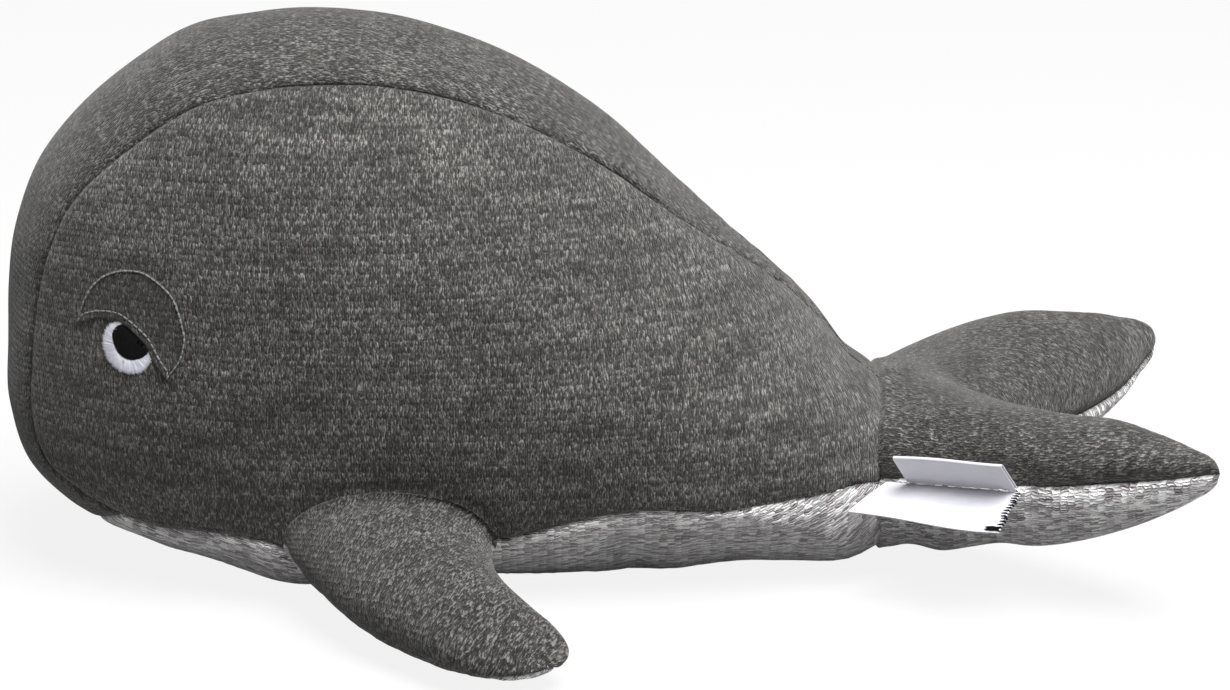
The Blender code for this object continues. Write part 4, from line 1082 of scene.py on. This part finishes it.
def tail_half(u, v, up):
    """Points of half the tail: u from the root to the trailing edge, v from the leading edge to the middle."""
    u, v = np.broadcast_arrays(u, v)
    one_u, one_v, of_u, of_v = 1 - u[..., None], 1 - v[..., None], u[..., None], v[..., None]
    notch, tip, root = trailing[0], leading[-1], leading[0]
    middle_line = np.stack([notch[0] * u, np.zeros_like(u)], axis=-1)
    root_line = np.stack([np.zeros_like(v), root[1] * (1 - v)], axis=-1)
    corners = one_u * one_v * root + of_u * (one_v * tip + of_v * notch)
    plan = one_v * on_curve(leading, u) + of_v * middle_line
    plan = plan + one_u * root_line + of_u * on_curve(trailing, 1 - v) - corners
    middle = np.clip(MIDDLE_HALF - plan[..., 1], 0, None)
    near = np.clip(away_from(leading, plan) - MIDDLE_PULL * middle**2 / MIDDLE_HALF, 0, None)
    reach = near * away_from(trailing, plan) / ((FULL_LEADING - MIDDLE_PULL * MIDDLE_HALF) * FULL_TRAILING)
    if up > 0:
        crest = 1 + 0.10 * np.sin(math.pi * u) - 0.14 * hump(u, 0.95, 0.13)
        height = (TOP_HEIGHT - TAIL_INSET) * reach**0.29 * crest
    else:
        height = (UNDER_HEIGHT - TAIL_INSET) * reach**0.44 * (1 - 0.35 * u**3)
    seam = tail_seam_height(plan) - REAR_DROP * u**4 * np.sin(math.pi * v) ** 0.7
    z = np.maximum(seam + up * height, 0.0008 + TAIL_INSET * 0.3)
    lean = np.clip(z - HINGE_Z, 0, None) * HINGE_SLOPE
    return np.stack([TAIL_SEAM_X + plan[..., 0] + lean * (1 - u) ** 3, plan[..., 1], z], axis=-1)


def tail_grid(up, rows=100, columns=70):
    """Both halves side by side: columns run from the left leading edge over the middle to the right one."""
    u = 1 - (1 - np.linspace(0, 1, rows)) ** 1.7
    v = (1 - np.cos(math.pi * np.linspace(0, 1, columns))) / 2
    half = tail_half(u[:, None], v[None, :] ** 1.15, up)
    back, share = half[..., 0] - TAIL_SEAM_X, half[..., 1] / TAIL_HALF_SPAN
    ridge = RIDGE * hump(back, 0.066, 0.013) * hump(share, 0.72, 0.18)
    other = half[:, -2::-1].copy()
    back, share = other[..., 0] - TAIL_SEAM_X, np.clip(other[..., 1] / TAIL_HALF_SPAN, 0, 1)
    other[..., 2] -= FAR_DROP * share**1.3 * np.clip((back - 0.030) / 0.035, 0, 1)
    if up > 0:
        other[..., 2] += share * sum(height * hump(back, place, width) for height, place, width in FAR_HUMPS)
        half[..., 2] += ridge * np.clip(2 * (1 - u[:, None]) + 0.2, 0, 1)
    return np.concatenate([half * (1, -1, 1), other], axis=1)


# %% Folds and hollows of the tail
UPPER_WIDTH, UPPER_LENGTH = 0.034, 0.011
LOWER_WIDTH, LOWER_LENGTH = 0.043, 0.0162
UPPER_HOLLOW, LOWER_HOLLOW = 0.0021, 0.0010
HOLLOW_START, HOLLOW_REACH, HOLLOW_PAST, HOLLOW_FADE = 0.0010, 0.0045, 0.006, 0.005
UNDER_FOLDS = (0.0020, 0.002), (0.0016, 0.017), (-0.0016, 0.033)  # height, and place behind the tail seam
UNDER_FOLD_WIDTH, UNDER_FOLD_TOP, UNDER_FOLD_SIDE = 0.006, 0.030, 0.008


def label_hollow(points, joint_name, width, depth):
    """The cloth gives way behind a ribbon, which leaves the ribbon room to bend."""
    start, axis = (np.array(joints[joint_name][key], float) for key in ("pos_m", "axis"))
    along = -axis / np.linalg.norm(axis)
    offset = points - start
    share = offset @ along
    away = np.linalg.norm(offset - np.clip(share, 0, width)[..., None] * along, axis=-1)
    near = np.clip(away - HOLLOW_START, 0, None) / HOLLOW_REACH
    inside = np.clip((np.minimum(share, width - share) + HOLLOW_PAST) / HOLLOW_FADE, 0, 1)
    return -depth * inside * near * np.exp((1 - near**2) / 2)


def top_folds(points):
    return label_hollow(points, "upper_label_bend", UPPER_WIDTH, UPPER_HOLLOW)


def under_folds(points):
    """Folds behind the tail seam on the underside, and the hollow behind the lower ribbon."""
    x, y, z = np.moveaxis(points - (TAIL_SEAM_X, 0, 0), -1, 0)
    low = np.clip((UNDER_FOLD_TOP - z) / 0.02, 0, 1) * np.clip((np.abs(y) - UNDER_FOLD_SIDE) / 0.015, 0, 1)
    folds = sum(height * hump(x, place, UNDER_FOLD_WIDTH) for height, place in UNDER_FOLDS)
    return folds * low + label_hollow(points, "lower_label_bend", LOWER_WIDTH, LOWER_HOLLOW)


# %% Tail bag and skins
ROOT_MIDDLE, ROOT_SHRINK = np.array([TAIL_SEAM_X, 0, 0.028]), (1, 0.86, 0.86)
upper, lower = (tail_grid(up, 46, 34) for up in (1, -1))
rings, faces = closed_rings(upper, lower)
edges = np.vstack([upper[:, 0], upper[:, -1], upper[-1], rings[0]])
tail_bag = Bag("stuffing_tail", rings, faces, edges, voxel=0.0035, pressure=25.0, swell=0.0020, held_width=0.003)
TAIL_SKINS = (
    ("top", 1, tail_cloth, "heather_dark", top_folds), ("underside", -1, pale_cloth, "heather_light", under_folds),
)
for name, up, finish, slot, folds in TAIL_SKINS:
    points = tail_grid(up)
    across = walked(points, 1)
    flat = np.stack([walked(points, 0), np.minimum(across, across[:, -1:] - across)], axis=-1)
    piece = sewn_panel(f"cloth_tail_{name}", points, flat, [points[:, 0], points[-1], points[:, -1]], finish, 80 + up,
                       tail_bag, folds, depth=0.0009, pucker=0.0003, floor=0.0004, tips=points[-1, [0, -1]],
                       turned_in={"top": lambda edge: (edge - ROOT_MIDDLE) * ROOT_SHRINK + ROOT_MIDDLE - (0.003, 0, 0)})
    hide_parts(f"tail_{name}")
    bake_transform(piece)
filling = tail_bag.fill(FILL_DEPTH, ["fluke_filling_left", "fluke_filling_right"], fibre)
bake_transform(filling)

# %% [markdown]
# ## Thread
#
# Embroidery and top stitching are laid down one stitch at a time, so they are built that way: each
# stitch is a short, slightly arched tube of thread. Hundreds of them side by side give the toothed
# edge and the soft gloss of the real eye, which a flat disc never has.

# %% Tubes of thread
def thread_mesh(name, stitches, finish, sides=6):
    """One mesh of many short tubes. Each stitch is (points, radius), with points along its middle."""
    corners, faces = [], []
    for line, radius in stitches:
        line = np.asarray(line, float)
        way = np.gradient(line, axis=0)
        way /= np.linalg.norm(way, axis=1, keepdims=True)
        side = np.cross(way, (0.31, 0.17, 0.93))
        side /= np.linalg.norm(side, axis=1, keepdims=True)
        over = np.cross(way, side)
        taper = np.interp(np.linspace(0, 1, len(line)), [0, 0.12, 0.88, 1], [0.35, 1, 1, 0.35])
        base = len(corners)
        for k in range(len(line)):
            for step in range(sides):
                angle = math.tau * step / sides
                corners.append(line[k] + radius * taper[k] * (side[k] * math.cos(angle) + over[k] * math.sin(angle)))
        last = base + (len(line) - 1) * sides
        faces += [[base + number for number in face] for face in tube_faces(len(line), sides)]
        faces += [list(range(base, base + sides))[::-1], list(range(last, last + sides))]
    print(name, len(stitches), "stitches,", len(faces), "faces")
    return smooth_object(name, corners, faces, finish)


def thread_finish(name, dark, pale, gloss=0.45, sheen=0.2, specular=0.5):
    made, wires, shader = new_finish(name)
    place = wires.object_place()
    plies, patches = wires.noise(place, 2600.0, 3.0, 0.6), wires.noise(place, 420.0, 2.0)
    both = wires.plus(wires.times(plies, 0.6), wires.times(patches, 0.4))
    wires.dress(shader, Base_Color=wires.blend(wires.spread(both, 0.3, 0.7), (*dark, 1), (*pale, 1)),
                Roughness=wires.spread(plies, 0.2, 0.8, gloss - 0.08, gloss + 0.15),
                Normal=wires.bump(0.5, 0.0001, plies), Sheen_Weight=sheen, Specular_IOR_Level=specular)
    return made


white_thread = thread_finish("thread_white", (0.74, 0.74, 0.84), (0.90, 0.90, 0.97))
black_thread = thread_finish("thread_black", (0.0020, 0.0020, 0.0022), (0.004, 0.004, 0.0045), 0.75, 0.0, 0.12)
grey_thread = thread_finish("thread_grey", (0.15, 0.15, 0.155), (0.26, 0.26, 0.27), gloss=0.6)

# %% [markdown]
# ## Eyes
#
# Each eye is embroidered on the side panel: white satin stitches all round, black ones over them,
# and over both a patch of the same jersey with its lower edge rolled under, top-stitched all round
# in pale grey. That patch is the eyelid. Its lower edge cuts the pupil off at a slant, which gives
# the whale its sleepy look. The places are measured on the side panel, seen from the side, and a ray
# shot at the finished cloth puts each one on the surface.

# %% Where the eye lies on the cloth
EYE_X, EYE_Z, EYE_RADIUS, PUPIL_RADIUS, LID_UNIT = NOSE_X + 0.041, 0.0762, 0.0076, 0.0054, 0.0071
PUPIL_CENTRE = np.array([0.0010, 0.0019])
LID_LOWER = [
    (-2.11, 0.58), (-1.32, 0.93), (-0.80, 1.02), (-0.37, 0.99), (0.04, 0.77), (0.63, 0.30), (0.85, -0.06),
    (1.07, -0.45), (1.55, -1.06),
]
LID_UPPER = [
    (-2.11, 0.58), (-1.90, 1.27), (-1.63, 1.86), (-1.29, 2.33), (-0.82, 2.71), (-0.11, 2.97), (0.77, 2.96),
    (1.65, 2.41), (2.04, 1.83), (2.32, 0.83), (2.30, 0.32), (2.11, -0.28), (1.55, -1.06),
]
lid_lower, lid_upper = (smooth_through(points) * LID_UNIT for points in (LID_LOWER, LID_UPPER))


class Surface:
    """Puts flat places on a side panel's cloth."""

    def __init__(self, obj, side):
        self.side = side
        mesh = obj.data
        self.tree = BVHTree.FromPolygons([v.co for v in mesh.vertices], [tuple(p.vertices) for p in mesh.polygons])

    def put(self, place, lift):
        start = Vector((EYE_X + place[0], self.side * 0.2, EYE_Z + place[1]))
        hit = self.tree.ray_cast(start, Vector((0, -self.side, 0)))[0]
        return np.array(hit + Vector((0, self.side, 0)) * lift)


def reach_to_lid(centre, way, reach):
    """How far a stitch goes from a centre before it meets the eyelid's lower edge."""
    starts, along = lid_lower[:-1], np.diff(lid_lower, axis=0)
    spread = way[0] * along[:, 1] - way[1] * along[:, 0]
    offset = starts - centre
    distance = (offset[:, 0] * along[:, 1] - offset[:, 1] * along[:, 0]) / spread
    share = (offset[:, 0] * way[1] - offset[:, 1] * way[0]) / spread
    hits = distance[(distance > 0) & (share >= 0) & (share <= 1)]
    return min(reach, hits.min()) if len(hits) else reach


# %% Embroidery
WHITE_THREAD, BLACK_THREAD = 0.00017, 0.00019  # radii
WHITE_STITCHES, WHITE_INNER, SHORTEST_WHITE, SHORTEST_BLACK = 150, 0.0030, 0.0008, 0.0006
PUPIL_SLANT, BLACK_PITCH = math.radians(72), 0.00023
TUCK = 0.0008  # how far a stitch runs on under the lid


def arched(surface, start, end, low, high, points=7):
    """A stitch from one flat place to another, rising in the middle."""
    shares = np.linspace(0, 1, points)
    rise = np.sin(math.pi * shares) ** 0.5
    return [surface.put(start + (end - start) * s, low + (high - low) * r) for s, r in zip(shares, rise)]


def embroider_eye(surface, name):
    chance = np.random.default_rng(5)
    white, black = [], []
    for angle in np.linspace(0, math.tau, WHITE_STITCHES, endpoint=False):
        way = np.array([math.cos(angle), math.sin(angle)])
        outer = EYE_RADIUS + chance.uniform(-0.00030, 0.00018)
        outer = min(outer, reach_to_lid(np.zeros(2), way, 1.0) + TUCK)
        hidden = np.linalg.norm(way * outer - PUPIL_CENTRE) < PUPIL_RADIUS - 0.0002
        if outer - WHITE_INNER > SHORTEST_WHITE and not hidden:
            top = chance.uniform(0.00046, 0.00060)
            white.append((arched(surface, way * WHITE_INNER, way * outer, 0.00010, top), WHITE_THREAD))
    along = np.array([math.cos(PUPIL_SLANT), math.sin(PUPIL_SLANT)])
    across = np.array([-along[1], along[0]])
    for offset in np.arange(-PUPIL_RADIUS + 0.0001, PUPIL_RADIUS, BLACK_PITCH):
        half = math.sqrt(PUPIL_RADIUS**2 - offset**2) + chance.uniform(-0.00012, 0.00010)
        low = PUPIL_CENTRE + across * offset - along * half
        high = low + along * min(2 * half, reach_to_lid(low, along, 2 * half) + 0.9 * TUCK)
        if np.linalg.norm(high - low) > SHORTEST_BLACK:
            black.append((arched(surface, low, high, 0.00045, chance.uniform(0.00080, 0.00092)), BLACK_THREAD))
    return (thread_mesh(f"eye_white_stitches_{name}", white, white_thread),
            thread_mesh(f"pupil_stitches_{name}", black, black_thread))


# %% Eyelid patch
LID_STEPS, LID_ROWS = 96, 40
LID_THICK, LID_ROLL, ROLL_REACH = 0.00055, 0.00115, 0.0030


def lid_place(along, across):
    """A flat place on the eyelid: along from its front to its rear corner, across from lower to upper edge."""
    low, high = on_curve(lid_lower, along), on_curve(lid_upper, along)
    return low + (high - low) * across


def lid_width(along):
    return np.linalg.norm(lid_place(along, 1.0) - lid_place(along, 0.0))


def lid_lift(from_low, from_high):
    """How far the patch stands off the cloth: rolled at its lower edge and thin at its upper one."""
    edge = min(1, (from_low + 0.0002) / 0.0006) ** 0.5
    roll = LID_ROLL * math.exp(-from_low / ROLL_REACH) * edge
    return roll * 0.55 + LID_THICK * edge * min(1, from_high / 0.0010) ** 0.5 - (0.0004 if from_high < 1e-6 else 0)


def build_eyelid(surface, name):
    across = [np.linspace(0, 0.10, 9), np.linspace(0.10, 0.92, LID_ROWS)[1:], np.linspace(0.92, 1, 8)[1:]]
    along = (1 - np.cos(math.pi * np.linspace(0.0, 1.0, LID_STEPS))) / 2
    widths = [lid_width(place) for place in along]
    points, flat = [], []
    for share in np.concatenate(across):
        spots = [lid_place(place, share) for place in along]
        points.append([surface.put(spot, lid_lift(share * w, (1 - share) * w)) for spot, w in zip(spots, widths)])
        flat.append(spots)
    points, flat = np.array(points), np.array(flat)
    lower, upper = points[0] - (0, surface.side * 0.0010, 0), points[-1] - (0, surface.side * 0.0012, 0)
    points = np.concatenate([[lower], points, [upper]])
    flat = np.concatenate([flat[:1], flat, flat[-1:]])
    distance = np.full(points.shape[:2], 0.004)
    # The rows along the lower edge count as 0.6 mm from a seam, which paints shade about a quarter deep along the
    # rolled edge
    distance[:2] = 0.0006
    return panel_mesh(f"eyelid_patch_{name}", points, flat, distance, lid_cloth)


# %% Top stitching
STITCH, STITCH_GAP = 0.00165, 0.00005
FROM_UPPER, FROM_LOWER = 0.00045, 0.0019  # how far inside the lid's edges the stitches run


def build_topstitch(surface, name):
    """Stitches along the eyelid's outline, just inside its edge."""
    there, back = np.linspace(0.01, 0.99, 220), np.linspace(0.985, 0.015, 220)
    loop = np.vstack(
        [lid_place(s, 1 - FROM_UPPER / max(lid_width(s), 0.0012)) for s in there]
        + [lid_place(s, min(FROM_LOWER / max(lid_width(s), 0.0030), 0.45)) for s in back]
    )
    loop = np.vstack([loop, loop[:1]])
    total = walked(loop)[-1]
    rise = np.sin(math.pi * np.linspace(0, 1, 6)) ** 0.6
    stitches = []
    for k in range(int(total / (STITCH + STITCH_GAP))):
        line = on_curve(loop, (np.linspace(0, STITCH, 6) + k * (STITCH + STITCH_GAP)) / total)
        thick = 0.00025 + 0.00006 * math.sin(k * 2.3) * math.cos(k * 0.7)
        stitches.append(([surface.put(p, 0.00058 + 0.00036 * r) for p, r in zip(line, rise)], thick))
    return thread_mesh(f"eyelid_topstitch_{name}", stitches, grey_thread)


# %% Both eyes
for name, side in (("left", -1), ("right", 1)):
    surface = Surface(side_panels[name], side)
    white, black = embroider_eye(surface, name)
    lid = build_eyelid(surface, name)
    top = build_topstitch(surface, name)
    for piece, node, slot in ((white, "eye_white", "eye_white"), (black, "pupil", "pupil"), (lid, "eyelid", "eyelid"),
                              (top, "eyelid_thread", "thread")):
        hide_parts(f"{node}_{name}")
        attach(piece, "body")

# %% [markdown]
# ## Ribbon labels
#
# Two white satin ribbons are caught in the seam of the near fluke. The lower one is a single layer
# with its end cut with pinking shears and overcast in black thread. The upper one is folded back on
# itself. On this part they are plain, with nothing printed on them. Each ribbon bends on its own
# hinge, whose axis is the sewn edge, so the ribbon is built from that axis.

# %% Satin finish
WARP, WEFT = 0.00042, 0.00060  # the weave's pitch both ways


def satin_finish():
    made, wires, shader = new_finish("ribbon_satin")
    flat = wires.flat_pattern()
    place = wires.parts(flat)
    warp = wires.math("SINE", wires.times(place[0], math.tau / WARP))
    weft = wires.math("SINE", wires.times(place[1], math.tau / WEFT))
    weave = wires.plus(wires.times(warp, 0.6), wires.times(weft, 0.4))
    soft = wires.noise(flat, 260.0, 3.0)
    tone = wires.blend(soft, (0.74, 0.735, 0.80, 1), (0.84, 0.835, 0.875, 1))
    # Painted shade: the colour is up to a tenth darker where the weave's height is low, between the threads
    thread = wires.blend(wires.spread(weave, -1.0, 0.6, 0.0, 1.0), (0.90, 0.90, 0.91, 1), (1, 1, 1, 1))
    wires.dress(shader, Base_Color=wires.blend(1.0, tone, thread, "MULTIPLY"),
                Roughness=wires.spread(soft, 0.2, 0.8, 0.42, 0.60), Normal=wires.bump(0.35, 0.00012, weave),
                Sheen_Weight=0.1)
    return made


satin = satin_finish()

# %% Ribbons
RIBBON_ROWS, RIBBON_COLUMNS, SHARP = 60, 120, math.radians(50)
PATTERN_LENGTH, TEETH = 0.03, 13  # the flat pattern's length, and the teeth of a cut end


def ribbon_frame(joint_name, degrees):
    """The sewn edge's start, its direction, the way the ribbon hangs out and its upper face."""
    joint = joints[joint_name]
    along = -np.array(joint["axis"], float)
    along /= np.linalg.norm(along)
    level = np.cross((0, 0, 1), along)
    level /= np.linalg.norm(level)
    level = level if level[1] < 0 else -level
    steep = np.cross(along, level)
    steep *= math.copysign(1, steep[2])
    out = level * math.cos(math.radians(degrees)) + steep * math.sin(math.radians(degrees))
    over = np.cross(along, out)
    return np.array(joint["pos_m"], float), along, out, over * math.copysign(1, over[2])


def ribbon(name, base, width, line, bend, thickness, teeth=0.0, skew=0.0):
    """A ribbon along its sewn edge. line gives (out, over) for a share of its length."""
    first, along, out, over = base
    rows, spots = [], []
    for share in np.linspace(0, 1, RIBBON_ROWS):
        distance, height = line(share)
        end = width - teeth * (1 - abs((share * TEETH) % 1 - 0.5) * 2)
        row, places = [], []
        for k in range(RIBBON_COLUMNS + 1):
            u = k / RIBBON_COLUMNS
            sideways = u * end - skew * (1 - u) ** 3 * share
            row.append(first + along * sideways + out * distance + over * (height + bend(u, share)))
            places.append((u * end, share * PATTERN_LENGTH))
        rows.append(row)
        spots.append(places)
    rows, spots = np.array(rows), np.array(spots)
    normals = np.cross(np.gradient(rows, axis=1), np.gradient(rows, axis=0))
    normals *= thickness / 2 / np.linalg.norm(normals, axis=-1, keepdims=True)
    corners = np.vstack([(rows + normals).reshape(-1, 3), (rows - normals).reshape(-1, 3)])
    count, half = RIBBON_COLUMNS + 1, rows[..., 0].size
    faces = []
    for r in range(RIBBON_ROWS - 1):
        for a in range(r * count, r * count + RIBBON_COLUMNS):
            faces.append([a, a + 1, a + count + 1, a + count])
            faces.append([half + a, half + a + count, half + a + count + 1, half + a + 1])
    for a in range(RIBBON_COLUMNS):
        last = half - count + a
        faces += [[a + 1, a, half + a, half + a + 1], [last, last + 1, half + last + 1, half + last]]
    for a in range(0, half - count, count):
        b = a + RIBBON_COLUMNS
        faces += [[a, a + count, half + a + count, half + a], [b + count, b, half + b, half + b + count]]
    made = smooth_object(name, corners, faces, satin, np.vstack([spots.reshape(-1, 2)] * 2))
    made.data.set_sharp_from_angle(angle=SHARP)
    return made, rows


lower_base = ribbon_frame("lower_label_bend", -21)
lower_ribbon, lower_rows = ribbon(
    "ribbon_lower", lower_base, LOWER_WIDTH,
    lambda share: (LOWER_LENGTH * share, -0.0012 * share**2 + 0.0004 * math.sin(math.pi * share)),
    lambda u, share: 0.0005 * math.sin(math.tau * u * 0.9 + 0.6) * share + 0.0026 * (1 - u) ** 1.5 * share**1.5,
    thickness=0.00035, teeth=0.0009, skew=0.0040,
)
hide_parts("label_lower")
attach(lower_ribbon, "lower_label")

# %% Overcast end of the lower ribbon
overcast = []
first, along, out, over = lower_base
for share in np.linspace(0.06, 0.97, 15):
    inner, edge = lower_rows[int(share * (RIBBON_ROWS - 1)), [-5, -1]]
    round_end = [inner + over * 0.00035, edge + over * 0.00040 + along * 0.0001, edge + along * 0.0003]
    overcast.append(([*round_end, edge - over * 0.00035], 0.00027))
for k in range(9):
    a, b = lower_rows[int((0.90 + 0.0085 * k) * (RIBBON_ROWS - 1)), [-2, -14 + k % 3]]
    overcast.append(([b + over * 0.00032, (a + b) / 2 + over * 0.00045, a + over * 0.00032], 0.00024))
overcast_piece = thread_mesh("ribbon_overcast", overcast, black_thread)
overcast_piece.parent = lower_ribbon

# %% Folded upper ribbon
upper_base = ribbon_frame("upper_label_bend", 52)
FOLD_GAP, FOLD_START, FOLD_END = 0.00045, 0.46, 0.54  # the fold lies between these shares of the length


def folded(share):
    """Out along one layer, round the fold and back along the other."""
    if share < FOLD_START:
        return UPPER_LENGTH * share / FOLD_START, -FOLD_GAP
    if share > FOLD_END:
        return UPPER_LENGTH * (1 - share) / FOLD_START, FOLD_GAP
    angle = math.pi * (share - FOLD_START) / (FOLD_END - FOLD_START)
    return UPPER_LENGTH + FOLD_GAP * math.sin(angle) * 0.8, -FOLD_GAP * math.cos(angle)


upper_ribbon, _ = ribbon(
    "ribbon_upper", upper_base, UPPER_WIDTH, folded,
    lambda u, share: 0.0003 * math.sin(math.tau * u * 0.8) * math.sin(math.pi * share),
    thickness=0.0003,
)
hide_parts("label_upper")
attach(upper_ribbon, "upper_label")

# %% [markdown]
# ## Floor and studio light
#
# The photograph is cut out on white. A large pale floor runs back out of sight under a bright, even
# sky, and a soft lamp above gives the back its light and the belly its shade. To the camera the
# floor is mostly plain white and only a little its own lit colour, so that it stays white but keeps
# a soft shadow under the whale. The light it throws back is that of a darker floor.

# %% Floor
FLOOR_HALF, FLOOR_Z, PLAIN_WHITE = 6.0, -0.0002, 0.87  # the share of plain white that the camera sees


def seen_directly(wires):
    """1 for rays from the camera, also by way of glass or gloss, and 0 for the light that a surface throws back."""
    rays = wires.node("ShaderNodeLightPath").outputs
    either = wires.math("MAXIMUM", rays["Is Camera Ray"], rays["Is Glossy Ray"])
    return wires.math("MAXIMUM", either, rays["Is Transmission Ray"])


def floor_finish():
    made, wires, shader = new_finish("studio_floor")
    seen = seen_directly(wires)
    shown = wires.blend(wires.noise(wires.object_place(), 40.0, 3.0), (0.86, 0.86, 0.86, 1), (0.90, 0.90, 0.90, 1))
    wires.dress(shader, Base_Color=wires.blend(seen, (0.28, 0.28, 0.28, 1), shown), Roughness=0.9)
    glow = wires.node("ShaderNodeEmission", Color=(1, 1, 1, 1), Strength=1.0)
    both = wires.node("ShaderNodeMixShader")
    for socket, source in zip(both.inputs, (wires.times(seen, PLAIN_WHITE), shader.outputs[0], glow.outputs[0])):
        wires.feed(socket, source)
    wires.feed(made.node_tree.nodes["Material Output"].inputs["Surface"], both.outputs[0])
    return made


square = [(x * FLOOR_HALF, y * FLOOR_HALF, FLOOR_Z) for x, y in ((-1, -1), (1, -1), (1, 1), (-1, 1))]
floor = smooth_object("floor", square, [[0, 1, 2, 3]], floor_finish())
floor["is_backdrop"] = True

# %% Sky and lamps
scene = bpy.context.scene
scene.world = bpy.data.worlds.new("studio")
scene.world.use_nodes = True
wires = Wires(scene.world.node_tree)
sky = scene.world.node_tree.nodes["Background"]
wires.dress(sky, Strength=wires.spread(seen_directly(wires), 0.0, 1.0, 0.04, 1.0), Color=(1, 1, 1, 1))


def lamp(name, place, aim, size, power):
    light = bpy.data.lights.new(name, "AREA")
    light.shape = "RECTANGLE"
    light.size, light.size_y = size
    light.energy = power
    made = show(name, light)
    made.location = place
    made.rotation_euler = (Vector(aim) - Vector(place)).to_track_quat("-Z", "Y").to_euler()


lamp("key", place=(0.25, -0.35, 1.15), aim=(0.02, 0, 0.06), size=(0.9, 0.9), power=27.5)
lamp("rear_fill", place=(0.42, -0.42, 0.14), aim=(0.12, 0, 0.03), size=(0.25, 0.18), power=0.16)
scene.view_settings.view_transform = "Standard"

# %% [markdown]
# ## Sizes and the last call
#
# The visual model may stand only a little proud of the solids, so both boxes are written out.

# %% Write the sizes and finish
bpy.context.view_layer.update()
shown_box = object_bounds()
for label, box in (("cad", cad_box), ("visual", shown_box)):
    print(label, [round(value * 1000, 1) for value in (*box[0], *box[1])])
